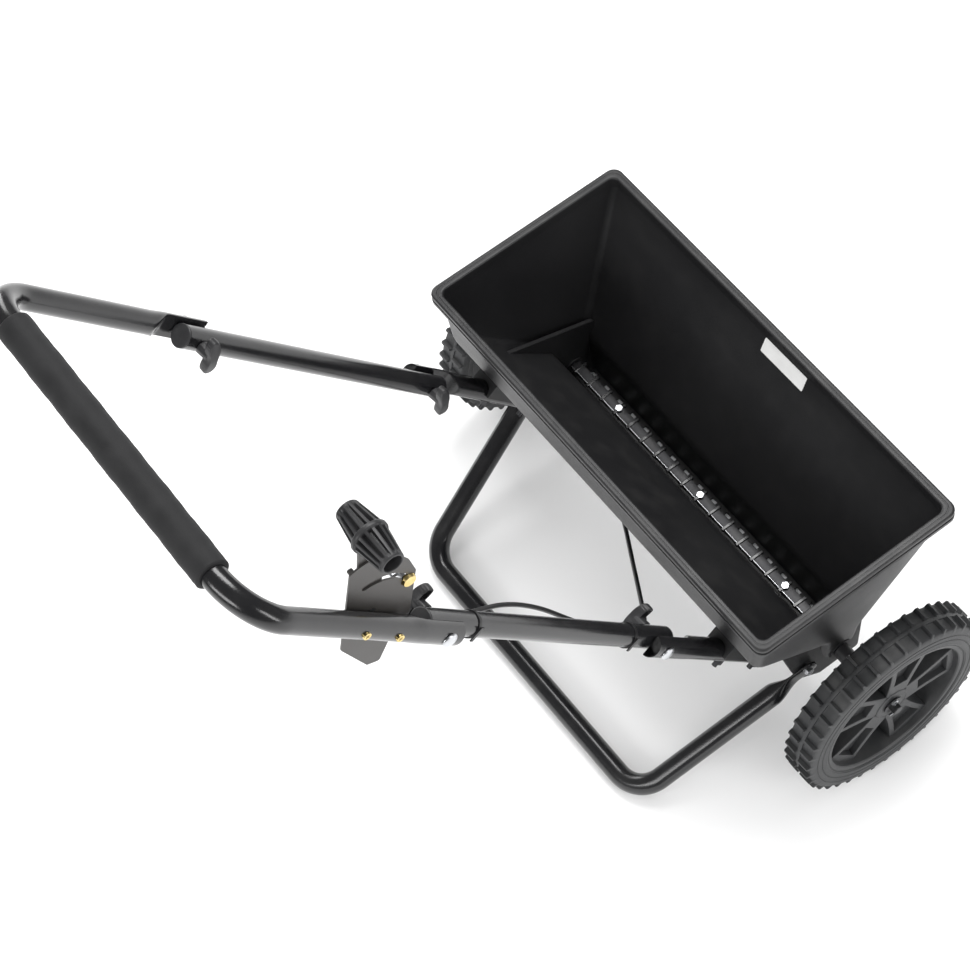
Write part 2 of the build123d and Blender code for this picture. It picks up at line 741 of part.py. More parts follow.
for name, x_sign in (("left", -1), ("right", 1)):
    x = x_sign * outer_x
    with BuildPart() as lower_tube:
        add(along_rod(-lower_length, tail_length, x, tube_radius))
        add(crush_tool(0, -1, x_sign, 0), mode=Mode.SUBTRACT)
        with BuildPart(mode=Mode.PRIVATE) as lower_bore:
            add(along_rod(-lower_length - 1, tail_length + 1, x, tube_radius - tube_wall))
            add(crush_tool(0, -1, x_sign, tube_wall), mode=Mode.SUBTRACT)
        add(lower_bore.part, mode=Mode.SUBTRACT)
        add(cross_bore(0, x, tube_diameter, bolt_diameter / 2 + bolt_play), mode=Mode.SUBTRACT)
        with BuildSketch(arm(-tube_diameter)):
            with Locations(*[(-below, x) for below in seat_bolts]):
                Circle(bolt_diameter / 2 + bolt_play)
        extrude(amount=2 * tube_diameter, mode=Mode.SUBTRACT)
    save(lower_tube.part, f"lower_tube_{name}")

    x = x_sign * arm_x
    with BuildPart() as middle_tube:
        add(along_rod(-tail_length, middle_length + tail_length, x, tube_radius))
        inside = tube_radius - tube_wall
        add(along_rod(-tail_length - 1, middle_length + tail_length + 1, x, inside), mode=Mode.SUBTRACT)
        for along in fold_alongs.values():
            add(cross_bore(along, x, tube_diameter, bolt_diameter / 2 + running_fit), mode=Mode.SUBTRACT)
    save(middle_tube.part, f"middle_tube_{name}")

upper_route = [
    arm_point(middle_length - tail_length, outer_x),
    arm_point(handle_top, outer_x),
    arm_point(handle_top, -outer_x),
    arm_point(middle_length - tail_length, -outer_x),
]
with BuildPart() as upper_bore:
    add(tube_along(upper_route, upper_bend, tube_radius - tube_wall))
    for x_sign in (-1, 1):
        add(crush_tool(middle_length, 1, x_sign, tube_wall), mode=Mode.SUBTRACT)

with BuildPart() as upper_handle:
    add(tube_along(upper_route, upper_bend, tube_radius))
    for x_sign in (-1, 1):
        add(crush_tool(middle_length, 1, x_sign, 0), mode=Mode.SUBTRACT)
    add(upper_bore.part, mode=Mode.SUBTRACT)
    for x_sign in (-1, 1):
        hole = cross_bore(middle_length, x_sign * outer_x, tube_diameter, bolt_diameter / 2 + bolt_play)
        add(hole, mode=Mode.SUBTRACT)
    for along in screw_alongs:
        hole = cross_bore(along, outer_x, tube_diameter, screw_diameter / 2 + bolt_play)
        add(hole, mode=Mode.SUBTRACT)
save(upper_handle.part, "upper_handle")

grip_half = outer_x - upper_bend - 1
grip_chamfer = 1.5
with BuildPart() as grip:
    with BuildSketch(across(handle_top, -grip_half)):
        Circle(grip_radius)
        Circle(tube_radius, mode=Mode.SUBTRACT)
    extrude(amount=2 * grip_half)
    end_edges = grip.faces().filter_by(Axis.X).edges()
    chamfer(end_edges.filter_by(lambda e: e.radius > grip_radius - 1), grip_chamfer)
save(grip.part, "foam_grip")

cap_thickness = 2.5
cap_plug = 12.0
with BuildPart() as caps:
    for x_sign in (-1, 1):
        for end, direction in ((-tail_length, -1), (middle_length + tail_length, 1)):
            cap_end = end + direction * cap_thickness
            plug_end = end - direction * cap_plug
            low, high = min(end, cap_end), max(end, cap_end)
            add(along_rod(low, high, x_sign * arm_x, tube_radius))
            low, high = min(end, plug_end), max(end, plug_end)
            add(along_rod(low, high, x_sign * arm_x, tube_radius - tube_wall))
save(caps.part, "middle_tube_caps")

# carriage bolts of the folds: a shallow domed head outside, the thread inside
for name, along in fold_alongs.items():
    with BuildPart() as fold_bolts:
        for x_sign in (-1, 1):
            head_plane = across(along, x_sign * bolt_head_x)
            with BuildSketch(across(along, x_sign * bolt_end_x)):
                Circle(bolt_diameter / 2)
            extrude(amount=x_sign * (bolt_head_x - bolt_end_x))
            with BuildSketch(head_plane):
                Circle(head_radius)
            extrude(amount=x_sign * head_height, taper=head_taper)
    save(fold_bolts.part, f"{name}_fold_bolts")

# wing knobs: a hub with the thread, and an arched wing that is hollow on its inner side
wing_half = 20.0
wing_width = 13.0
wing_depth = 12.0
wing_wall = 2.0
wing_draft = 8.0             # taper of the wing's sides
wing_lap = 3.0               # wing over the end of its hub
knob_turns = {"lower_left": 75.0, "lower_right": 25.0, "upper_left": 60.0, "upper_right": 35.0}
for name, turn in knob_turns.items():
    level, hand = name.split("_")
    x_sign = -1 if hand == "left" else 1
    along = fold_alongs[level]
    face = across(along, x_sign * knob_face_x)
    wing_plane = Plane(
        origin=arm_point(along, x_sign * (knob_face_x - knob_hub_length + wing_lap)),
        x_dir=(0, cos(radians(turn)), sin(radians(turn))),
        z_dir=(-x_sign, 0, 0),
    )
    with BuildPart() as knob:
        with BuildSketch(face):
            Circle(knob_hub_radius)
        extrude(amount=-x_sign * knob_hub_length)
        with BuildSketch(wing_plane):
            SlotOverall(2 * wing_half, wing_width)
        extrude(amount=wing_depth, taper=wing_draft)
        with BuildSketch(wing_plane.offset(wing_depth)):
            SlotOverall(2 * wing_half - 4 * wing_wall, wing_width - 4 * wing_wall)
        extrude(amount=-wing_depth + 2 * wing_wall, mode=Mode.SUBTRACT)
        with BuildSketch(face):
            Circle(bolt_diameter / 2 + running_fit)
        extrude(amount=-x_sign * (knob_hub_length - 1), mode=Mode.SUBTRACT)
    save(knob.part, f"{name}_knob")

# seat bolts: studs through the lower tubes into the seats, each with a nut below
stud_tail = 11.0             # stud below the tube
stud_nut = 6.0
with BuildPart() as seat_studs:
    for x_sign in (-1, 1):
        places = [(-below, x_sign * outer_x) for below in seat_bolts]
        with BuildSketch(arm(-tube_radius - stud_tail)):
            with Locations(*places):
                Circle(bolt_diameter / 2)
        extrude(amount=seat_bolt_reach + tube_radius + stud_tail)
        with BuildSketch(arm(-tube_radius)):
            with Locations(*places):
                RegularPolygon(hex_radius, 6)
        extrude(amount=-stud_nut)
save(seat_studs.part, "seat_bolts")

# ---------------------------------------------------------------- control plate and lever
plate_lean = 15.0            # plate's long edges lean this far forward of upright
lever_lean = 10.0            # lever's lean when it is closed
plate_thickness = 2.0
pivot_along = middle_length + 103.0
pivot_height = 6.0           # pivot in front of the handle's plane
pivot_radius = 4.0
lever_thickness = 2.5
lever_half = 12.5
lever_reach = 111.0          # from the pivot to the grip's centre line
lever_tail = 27.0            # from the pivot to the cable's anchor
slot_radius = 43.0           # rate slot about the pivot
slot_half = 3.3
slot_start = -14.0
slot_end = 62.0
stop_angle = 60.0            # rate stop in its slot, forward of the lever
stop_bolt_radius = 3.0
plate_x = outer_x - tube_radius - plate_thickness     # inner face of the plate
lever_x = plate_x - body_gap                          # outer face of the lever
lever_back = lever_x - lever_thickness
grip_length = 69.0
grip_middle_radius = 18.5
grip_end_radius = 11.5
spindle_radius = 5.0
grip_mouth = 12.0            # depth of the grip's open ends
spindle_half = grip_length / 2 - grip_mouth
pivot_point = arm_point(pivot_along, 0, pivot_height)


def quadrant(x, lean=plate_lean):
    """Plane of the control plate about the lever's pivot: its y runs up the plate, which leans
    forward of upright."""
    lean = radians(lean)
    origin = (x, pivot_point.Y, pivot_point.Z)
    return Plane(origin=origin, x_dir=(0, cos(lean), -sin(lean)), z_dir=(1, 0, 0))


def on_arc(radius, angle):
    """A place on the quadrant, at an angle forward of the plate's long edges."""
    return (radius * sin(radians(angle)), radius * cos(radians(angle)))


stop_place = on_arc(slot_radius, stop_angle)
plate_corner = 3.0
rest_pin_place = (-22, 64)
rest_pin_radius = 3.0
rest_pin_length = 8.0
slot_arc = CenterArc((0, 0), slot_radius, 90 - slot_end, slot_end - slot_start)
with BuildPart() as control_plate:
    with BuildSketch(quadrant(plate_x)):
        with BuildLine():
            Polyline(
                (-29, 72), (-29, -38), (3, -84), (17, -87), (27, -55),
                (45, -30), (45, 30), (36, 50), (14, 76),
            )
            ThreePointArc((14, 76), (-8, 79), (-29, 72))
        make_face()
        fillet(vertices(), plate_corner)
        SlotArc(slot_arc, 2 * slot_half, mode=Mode.SUBTRACT)
        Circle(pivot_radius, mode=Mode.SUBTRACT)
    extrude(amount=plate_thickness)
    for along in screw_alongs:
        add(cross_bore(along, plate_x, 5, screw_diameter / 2 + bolt_play), mode=Mode.SUBTRACT)
    # fixed pin that the closed lever rests near
    with BuildSketch(quadrant(plate_x)):
        with Locations(rest_pin_place):
            Circle(rest_pin_radius)
    extrude(amount=-rest_pin_length)
save(control_plate.part, "control_plate")

screw_head_radius = 4.0
screw_head = 2.2
screw_slot = 0.9             # width of the cross in a screw's head
screw_cross = 5.0
screw_flange = 0.8
with BuildPart() as plate_screws:
    for along in screw_alongs:
        outer_face = outer_x + tube_radius
        with BuildSketch(across(along, plate_x)):
            Circle(screw_diameter / 2)
        extrude(amount=outer_face - plate_x)
        with BuildSketch(across(along, outer_face)):
            Circle(screw_head_radius)
            Rectangle(screw_cross, screw_slot, mode=Mode.SUBTRACT)
            Rectangle(screw_slot, screw_cross, mode=Mode.SUBTRACT)
        extrude(amount=screw_head)
        with BuildSketch(across(along, outer_face)):
            Circle(screw_head_radius)
        extrude(amount=screw_flange)
save(plate_screws.part, "plate_screws")

lever_tail_half = 9.0        # half-width of the lever at its cable end
lever_corner = 4.0
anchor_radius = 1.6
lever_top = lever_reach - 2
with BuildPart() as lever:
    with BuildSketch(quadrant(lever_back, lever_lean)):
        with BuildLine():
            Polyline(
                (-lever_tail_half, -lever_tail - 4),
                (lever_tail_half, -lever_tail - 4),
                (lever_half, 0),
                (lever_half, lever_top),
                (-lever_half, lever_top),
                (-lever_half, 0),
                close=True,
            )
        make_face()
        fillet(vertices(), lever_corner)
        Circle(pivot_radius + running_fit, mode=Mode.SUBTRACT)
        with Locations((0, -lever_tail)):
            Circle(anchor_radius, mode=Mode.SUBTRACT)
    extrude(amount=lever_thickness)
    with BuildSketch(quadrant(lever_back + lever_thickness / 2, lever_lean)):
        with Locations((0, lever_reach)):
            Circle(spindle_radius)
    extrude(amount=spindle_half, both=True)
save(lever.part, "control_lever")

lever_middle = lever_back + lever_thickness / 2
grip_ring = 2.5              # half the length of the ring between the two cones
grip_ring_rise = 1.5
grip_end_wall = 3.0
with BuildPart() as lever_grip:
    for direction in (-1, 1):
        with BuildSketch(quadrant(lever_middle, lever_lean)):
            with Locations((0, lever_reach)):
                Circle(grip_middle_radius - grip_ring_rise)
        with BuildSketch(quadrant(lever_middle + direction * grip_length / 2, lever_lean)):
            with Locations((0, lever_reach)):
                Circle(grip_end_radius)
        loft()
    with BuildSketch(quadrant(lever_middle, lever_lean)):
        with Locations((0, lever_reach)):
            Circle(grip_middle_radius)
    extrude(amount=grip_ring, both=True)
    with BuildSketch(quadrant(lever_middle, lever_lean)):
        with Locations((0, lever_reach)):
            Circle(spindle_radius)
    extrude(amount=spindle_half, both=True, mode=Mode.SUBTRACT)
    for direction in (-1, 1):
        with BuildSketch(quadrant(lever_middle + direction * (grip_length / 2 + 1), lever_lean)):
            with Locations((0, lever_reach)):
                Circle(grip_end_radius - grip_end_wall)
        extrude(amount=-direction * (grip_mouth + 1), mode=Mode.SUBTRACT)
    add(lever.part, mode=Mode.SUBTRACT)
    with BuildSketch(quadrant(lever_back, lever_lean)):
        with Locations((0, lever_reach - grip_middle_radius / 2 - 4)):
            Rectangle(2 * lever_half, grip_middle_radius + 8)
    extrude(amount=lever_thickness, mode=Mode.SUBTRACT)
save(lever_grip.part, "lever_grip")

pivot_tail = 7.0             # pivot bolt past the lever
with BuildPart() as pivot_bolt:
    with BuildSketch(quadrant(plate_x + plate_thickness)):
        Circle(pivot_radius)
    extrude(amount=-plate_thickness - lever_thickness - body_gap - pivot_tail)
save(pivot_bolt.part, "lever_pivot")

pivot_nut_x = lever_back - body_gap
pivot_nut_radius = 7.0
pivot_nut_height = 5.0
with BuildPart() as pivot_nut:
    with BuildSketch(quadrant(pivot_nut_x)):
        RegularPolygon(pivot_nut_radius, 6)
        Circle(pivot_radius, mode=Mode.SUBTRACT)
    extrude(amount=-pivot_nut_height)
save(pivot_nut.part, "lever_pivot_nut")

stop_head_radius = 7.5
stop_head_height = 3.0
stop_tail = 12.0             # rate stop's thread behind the plate
stop_nut_radius = 6.0
stop_nut_height = 7.0
stop_wing_length = 24.0
stop_wing_width = 5.0
stop_wing_height = 4.0
with BuildPart() as rate_stop:
    with BuildSketch(quadrant(plate_x + plate_thickness + body_gap)):
        with Locations(stop_place):
            Circle(stop_head_radius)
    extrude(amount=stop_head_height, taper=20)
    with BuildSketch(quadrant(plate_x - stop_tail)):
        with Locations(stop_place):
            Circle(stop_bolt_radius)
    extrude(amount=stop_tail + plate_thickness + body_gap)
save(rate_stop.part, "rate_stop_bolt")

with BuildPart() as rate_nut:
    with BuildSketch(quadrant(plate_x - body_gap)):
        with Locations(stop_place):
            Circle(stop_nut_radius)
            Circle(stop_bolt_radius, mode=Mode.SUBTRACT)
    extrude(amount=-stop_nut_height)
    with BuildSketch(quadrant(plate_x - body_gap - stop_nut_height)):
        with Locations(stop_place):
            SlotOverall(stop_wing_length, stop_wing_width)
            Circle(stop_nut_radius)
            Circle(stop_bolt_radius, mode=Mode.SUBTRACT)
    extrude(amount=-stop_wing_height)
save(rate_nut.part, "rate_stop_wing_nut")

# ---------------------------------------------------------------- control cable
cable_x = 181.0              # cable beside the folds, between the knobs and the tubes
cable_height = -16.0         # cable behind the handle's plane
wire_gap = 2.0
fold_gap = 10.0              # cable stops this far short of the lower fold, which closes on it
clamp_back = 45.0            # cable clamp below the lever's pivot, along the handle
clamp_x = plate_x - 5.0
clamp_radius = 5.0
clamp_length = 12.0


def from_axle(x, y, z):
    """A point given from the middle of the axle."""
    return Vector(x, axle_y + y, axle_z + z)


def cable_piece(points):
    """One stretch of the cable, with arcs as large as its runs allow."""
    runs = [points[i + 1] - points[i] for i in range(len(points) - 1)]
    radii = []
    for before, after in zip(runs, runs[1:]):
        half_turn = radians(before.get_angle(after)) / 2
        radii.append(0.45 * min(before.length, after.length) / tan(half_turn))
    print("cable radii", [round(r) for r in radii])
    return tube_along(points, radii, cable_radius)


cable_upper = cable_piece(
    [
        arm_point(pivot_along - clamp_back - wire_gap / 2, clamp_x, cable_height),
        arm_point(middle_length + 35, cable_x + 1, cable_height - 1),
        arm_point(middle_length + wire_gap, cable_x, cable_height),
    ]
)
save(cable_upper, "cable_upper")

cable_middle = cable_piece(
    [
        arm_point(middle_length - wire_gap, cable_x, cable_height),
        arm_point(middle_length - 60, 178, cable_height),
        arm_point(middle_length - 115, 166, cable_height + 3),
        arm_point(middle_length - 175, 156, cable_height + 8),
        arm_point(middle_length - 235, 157, cable_height + 8),
        arm_point(middle_length - 290, 167, cable_height + 3),
        arm_point(middle_length - 345, 178, cable_height),
        arm_point(fold_gap, cable_x, cable_height),
    ]
)
save(cable_middle, "cable_middle")

cable_lower = cable_piece(
    [
        arm_point(-fold_gap, cable_x, cable_height),
        from_axle(177, -209, 186),
        from_axle(152, -190, 160),
        from_axle(106, -165, 140),
        from_axle(56, -138, 114),
        from_axle(6, -110, 80),
        from_axle(-44, -86, 40),
        from_axle(-82, -70, 0),
        from_axle(-102, -52, -32),
        from_axle(-98, -16, wire_z - 3),
        from_axle(-72, wire_y, wire_z),
        from_axle(ferrule_start, wire_y, wire_z),
    ]
)
save(cable_lower, "cable_lower")

with BuildPart() as cable_clamp:
    clamp_foot = arm_point(pivot_along - clamp_back, clamp_x, cable_height)
    with BuildSketch(Plane(origin=clamp_foot, z_dir=(0, e_y, e_z))):
        Circle(clamp_radius)
        Circle(wire_radius + running_fit, mode=Mode.SUBTRACT)
    extrude(amount=clamp_length)
save(cable_clamp.part, "cable_clamp")

with BuildPart() as lever_wire:
    anchor = Vector(
        clamp_x,
        pivot_point.Y - lever_tail * sin(radians(lever_lean)),
        pivot_point.Z - lever_tail * cos(radians(lever_lean)),
    )
    clamp_top = arm_point(pivot_along - clamp_back + clamp_length, clamp_x, cable_height)
    run = anchor - clamp_top
    with BuildSketch(Plane(origin=clamp_top, z_dir=run.normalized())):
        Circle(wire_radius)
    extrude(amount=run.length)
    with BuildSketch(quadrant(lever_back - body_gap, lever_lean)):
        with Locations((0, -lever_tail)):
            Circle(wire_head_radius)
    extrude(amount=clamp_x - 1.5 - lever_back)
    with BuildSketch(quadrant(lever_x - body_gap, lever_lean)):
        with Locations((0, -lever_tail)):
            Circle(anchor_radius - body_gap)
    extrude(amount=-lever_thickness - body_gap)
save(lever_wire.part, "lever_wire")
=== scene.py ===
import json
from math import cos, pi, radians, sin

import bpy
import bmesh
import numpy as np
from mathutils import Matrix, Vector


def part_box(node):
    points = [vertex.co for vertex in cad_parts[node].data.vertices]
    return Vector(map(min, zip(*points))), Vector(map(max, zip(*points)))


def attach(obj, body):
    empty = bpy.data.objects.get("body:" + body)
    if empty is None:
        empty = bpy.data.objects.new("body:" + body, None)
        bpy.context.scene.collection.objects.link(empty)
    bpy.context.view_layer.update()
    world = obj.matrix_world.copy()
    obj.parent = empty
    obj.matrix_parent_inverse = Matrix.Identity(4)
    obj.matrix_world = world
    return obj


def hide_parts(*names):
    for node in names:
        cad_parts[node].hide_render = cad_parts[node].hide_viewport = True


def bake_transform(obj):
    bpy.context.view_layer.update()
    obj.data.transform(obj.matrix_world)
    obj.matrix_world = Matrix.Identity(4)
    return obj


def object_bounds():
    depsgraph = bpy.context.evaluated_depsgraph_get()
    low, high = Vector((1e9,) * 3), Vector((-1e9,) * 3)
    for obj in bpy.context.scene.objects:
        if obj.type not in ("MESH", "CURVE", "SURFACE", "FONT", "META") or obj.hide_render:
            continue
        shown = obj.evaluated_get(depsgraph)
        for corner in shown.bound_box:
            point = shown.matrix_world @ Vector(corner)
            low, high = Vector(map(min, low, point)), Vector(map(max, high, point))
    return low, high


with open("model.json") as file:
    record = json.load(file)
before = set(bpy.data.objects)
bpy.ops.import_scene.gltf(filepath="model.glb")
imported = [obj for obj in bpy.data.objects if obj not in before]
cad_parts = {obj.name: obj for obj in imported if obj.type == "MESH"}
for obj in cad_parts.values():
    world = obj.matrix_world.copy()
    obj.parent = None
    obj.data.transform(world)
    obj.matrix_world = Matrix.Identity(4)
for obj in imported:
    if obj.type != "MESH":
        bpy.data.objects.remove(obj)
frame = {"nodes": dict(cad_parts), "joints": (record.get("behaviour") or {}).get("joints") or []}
cad_low, cad_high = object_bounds()

# ---------------------------------------------------------------- camera, light and floor
# A plain studio: one long lens from above and behind the right-hand wheel, a big overhead
# softbox, two side boxes that draw the highlights along the tubes, and a pale floor.
camera_axes = [(0.590684, 0.800556, -0.101028), (-0.666695, 0.554736, 0.497778),
               (0.454541, -0.226669, 0.861395)]      # its right, up and back
eye = (1.2685, -0.6501, 2.8635)


def unit(vectors):
    """Each vector divided by its length."""
    return vectors / np.linalg.norm(vectors, axis=-1, keepdims=True)


def standing(axes, place):
    """Matrix that turns X, Y and Z to three axes and moves the origin to a place."""
    return Matrix([[*row, spot] for row, spot in zip(np.transpose(axes), place)] + [[0, 0, 0, 1]])


camera_data = bpy.data.cameras.new("camera")
camera_data.lens = 100.86
camera_data.clip_end = 50.0
camera = bpy.data.objects.new("camera", camera_data)
camera.matrix_world = standing(camera_axes, eye)
bpy.context.scene.collection.objects.link(camera)
bpy.context.scene.camera = camera
bpy.context.scene.view_settings.view_transform = "Standard"

middle = (np.array(cad_low) + np.array(cad_high)) / 2


def softbox(name, place, aim, size, watts):
    """Rectangular area lamp at one point, turned to face another."""
    lamp_data = bpy.data.lights.new(name, "AREA")
    lamp_data.shape = "RECTANGLE"
    lamp_data.size, lamp_data.size_y = size
    lamp_data.energy = watts
    lamp = bpy.data.objects.new(name, lamp_data)
    ray = unit(np.array(place, float) - np.array(aim, float))
    across = unit(np.cross((0.0, 0.0, 1.0), ray))
    lamp.matrix_world = standing([across, np.cross(ray, across), ray], place)
    bpy.context.scene.collection.objects.link(lamp)


softbox("overhead_box", middle + (-0.6, 1.0, 2.6), middle, (1.6, 1.2), 55.0)
softbox("rear_box", middle + (0.6, -2.6, 1.2), middle, (2.2, 0.7), 32.0)
softbox("left_box", middle + (-2.6, 0.3, 1.3), middle, (0.8, 2.0), 26.0)
softbox("right_box", middle + (2.6, 0.9, 1.0), middle, (0.6, 1.8), 22.0)

world = bpy.data.worlds.new("studio_air")
world.use_nodes = True
world.node_tree.nodes["Background"].inputs["Color"].default_value = (1.0, 1.0, 1.0, 1.0)
air_nodes, air_links = world.node_tree.nodes, world.node_tree.links
air_path = air_nodes.new("ShaderNodeLightPath")
air_strength = air_nodes.new("ShaderNodeMapRange")   # glossy rays meet a dimmer room
air_strength.inputs["To Min"].default_value = 1.0
air_strength.inputs["To Max"].default_value = 0.16
air_links.new(air_path.outputs["Is Glossy Ray"], air_strength.inputs["Value"])
air_links.new(air_strength.outputs["Result"], air_nodes["Background"].inputs["Strength"])
bpy.context.scene.world = world

floor_mesh = bpy.data.meshes.new("floor")
floor_z = cad_low.z - 0.0004
floor_mesh.from_pydata([(x, y, floor_z) for x, y in ((-6, -6), (6, -6), (6, 6), (-6, 6))],
                       [], [(0, 1, 2, 3)])
floor = bpy.data.objects.new("floor", floor_mesh)
bpy.context.scene.collection.objects.link(floor)
floor_paper = bpy.data.materials.new("floor_paper")
floor_paper.use_nodes = True
floor_shader = floor_paper.node_tree.nodes["Principled BSDF"]
floor_shader.inputs["Roughness"].default_value = 0.9
floor_shader.inputs["Specular IOR Level"].default_value = 0.2
paper_noise = floor_paper.node_tree.nodes.new("ShaderNodeTexNoise")
paper_noise.inputs["Scale"].default_value = 3.0
paper_ramp = floor_paper.node_tree.nodes.new("ShaderNodeValToRGB")
paper_ramp.color_ramp.elements[0].color = (0.90, 0.90, 0.90, 1.0)
paper_ramp.color_ramp.elements[1].color = (0.94, 0.94, 0.94, 1.0)
floor_paper.node_tree.links.new(paper_noise.outputs["Fac"], paper_ramp.inputs["Fac"])
floor_paper.node_tree.links.new(paper_ramp.outputs["Color"], floor_shader.inputs["Base Color"])
floor_mesh.materials.append(floor_paper)

# ---------------------------------------------------------------- hopper
# The hopper is one deep blow-moulded tub of black polyethylene with a thick rolled rim, a
# slotted floor and a fine spark-eroded texture. Two seats under its rear slope take the tubes.
joint_places = {joint["name"]: np.array(joint["pos_m"]) * 1000
                for joint in frame["joints"] if "pos_m" in joint}
axle = joint_places["drive_wheel_spin"]
lower_pin, upper_pin = joint_places["lower_fold"], joint_places["upper_fold"]
uphill = unit(upper_pin - lower_pin)
outward = np.array([0.0, uphill[2], -uphill[1]])
tube_radius = 12.5
middle_x, outer_x = 200.0, 212.5         # planes of the middle tubes, and of the tubes outside them
middle_length = 400.0                    # between the two folds


def on_arm(along, x, height=0.0):
    """Points some way up the handle from the lower fold, at x, and out from the tubes' plane."""
    along, x, height = np.broadcast_arrays(*[np.asarray(v, float) for v in (along, x, height)])
    place = lower_pin + along[..., None] * uphill + height[..., None] * outward
    return place + x[..., None] * np.array([1.0, 0.0, 0.0])


def grid_faces(rows, columns, start):
    """Four-sided faces of a grid whose columns close into a ring, numbered from a first vertex."""
    here = np.arange(rows * columns).reshape(rows, columns)
    across = np.roll(here, -1, axis=1)
    return start + np.stack([here[:-1], across[:-1], across[1:], here[1:]], axis=-1).reshape(-1, 4)


def skin(name, patches, coat, body, stands_for=(), crease=32.0):
    """One piece from ring grids in millimetres. Rings that shrink to a point close its ends,
    doubled points are merged, and faces are turned outward."""
    points, faces, start = [], [], 0
    for patch in patches:
        rows, columns, _ = patch.shape
        points.append(patch.reshape(-1, 3) / 1000)
        faces.append(grid_faces(rows, columns, start))
        start += rows * columns
    mesh = bpy.data.meshes.new(name)
    mesh.from_pydata(np.concatenate(points).tolist(), [], np.concatenate(faces).tolist())
    work = bmesh.new()
    work.from_mesh(mesh)
    bmesh.ops.remove_doubles(work, verts=work.verts, dist=2e-6)
    bmesh.ops.dissolve_degenerate(work, edges=work.edges, dist=1e-6)
    bmesh.ops.recalc_face_normals(work, faces=work.faces)
    work.to_mesh(mesh)
    work.free()
    mesh.polygons.foreach_set("use_smooth", np.ones(len(mesh.polygons), bool))
    mesh.set_sharp_from_angle(angle=radians(crease))
    mesh.materials.append(coat)
    piece = bpy.data.objects.new(name, mesh)
    bpy.context.scene.collection.objects.link(piece)
    if body:
        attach(piece, body)
    if stands_for:
        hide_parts(*stands_for)
    return piece


def closed(patch):
    """The same rings with a point added at each end, so that the surface is shut."""
    first, last = [np.repeat(ring.mean(0)[None, None], patch.shape[1], axis=1)
                   for ring in (patch[0], patch[-1])]
    return np.concatenate([first, patch, last])


def surface_group(name, sockets, build):
    """Shader node group with named inputs and outputs; build fills it in."""
    group = bpy.data.node_groups.new(name, "ShaderNodeTree")
    for label, flow, kind, value in sockets:
        socket = group.interface.new_socket(label, in_out=flow, socket_type=kind)
        if value is not None:
            socket.default_value = value
    build(group, group.nodes.new("NodeGroupInput"), group.nodes.new("NodeGroupOutput"))
    return group


def tone_nodes(group, given, out):
    """Colour and roughness drift between two values each, in soft patches and fine specks."""
    nodes, links = group.nodes, group.links
    place = nodes.new("ShaderNodeTexCoord")
    patches = nodes.new("ShaderNodeTexNoise")
    patches.inputs["Detail"].default_value = 5.0
    specks = nodes.new("ShaderNodeTexNoise")
    specks.inputs["Scale"].default_value = 900.0
    specks.inputs["Detail"].default_value = 2.0
    links.new(place.outputs["Object"], patches.inputs["Vector"])
    links.new(place.outputs["Object"], specks.inputs["Vector"])
    links.new(given.outputs["Patches"], patches.inputs["Scale"])
    both = nodes.new("ShaderNodeMath")
    both.operation = "MULTIPLY_ADD"
    links.new(specks.outputs["Fac"], both.inputs[0])
    both.inputs[1].default_value = 0.35
    links.new(patches.outputs["Fac"], both.inputs[2])
    spread = nodes.new("ShaderNodeMapRange")
    spread.inputs["From Min"].default_value = 0.42
    spread.inputs["From Max"].default_value = 0.92
    links.new(both.outputs[0], spread.inputs["Value"])
    colour = nodes.new("ShaderNodeMix")
    colour.data_type = "RGBA"
    links.new(spread.outputs["Result"], colour.inputs["Factor"])
    links.new(given.outputs["Dark"], colour.inputs["A"])
    links.new(given.outputs["Light"], colour.inputs["B"])
    gloss = nodes.new("ShaderNodeMix")
    links.new(spread.outputs["Result"], gloss.inputs["Factor"])
    links.new(given.outputs["Smooth"], gloss.inputs["A"])
    links.new(given.outputs["Rough"], gloss.inputs["B"])
    links.new(colour.outputs["Result"], out.inputs["Color"])
    links.new(gloss.outputs["Result"], out.inputs["Roughness"])


tone = surface_group("tone", [
    ("Dark", "INPUT", "NodeSocketColor", (0.02, 0.02, 0.02, 1.0)),
    ("Light", "INPUT", "NodeSocketColor", (0.04, 0.04, 0.04, 1.0)),
    ("Smooth", "INPUT", "NodeSocketFloat", 0.3),
    ("Rough", "INPUT", "NodeSocketFloat", 0.5),
    ("Patches", "INPUT", "NodeSocketFloat", 8.0),
    ("Color", "OUTPUT", "NodeSocketColor", None),
    ("Roughness", "OUTPUT", "NodeSocketFloat", None),
], tone_nodes)


def grain_nodes(group, given, out):
    """Fine bumps of one size over slower ripples, as a normal."""
    nodes, links = group.nodes, group.links
    place = nodes.new("ShaderNodeTexCoord")
    fine = nodes.new("ShaderNodeTexNoise")
    fine.inputs["Detail"].default_value = 3.0
    slow = nodes.new("ShaderNodeTexNoise")
    slow.inputs["Scale"].default_value = 22.0
    for texture in (fine, slow):
        links.new(place.outputs["Object"], texture.inputs["Vector"])
    links.new(given.outputs["Fineness"], fine.inputs["Scale"])
    ripple = nodes.new("ShaderNodeMath")
    ripple.operation = "MULTIPLY_ADD"
    links.new(slow.outputs["Fac"], ripple.inputs[0])
    links.new(given.outputs["Ripple"], ripple.inputs[1])
    links.new(fine.outputs["Fac"], ripple.inputs[2])
    bump = nodes.new("ShaderNodeBump")
    bump.inputs["Strength"].default_value = 1.0
    links.new(given.outputs["Height"], bump.inputs["Distance"])
    links.new(ripple.outputs[0], bump.inputs["Height"])
    links.new(bump.outputs["Normal"], out.inputs["Normal"])


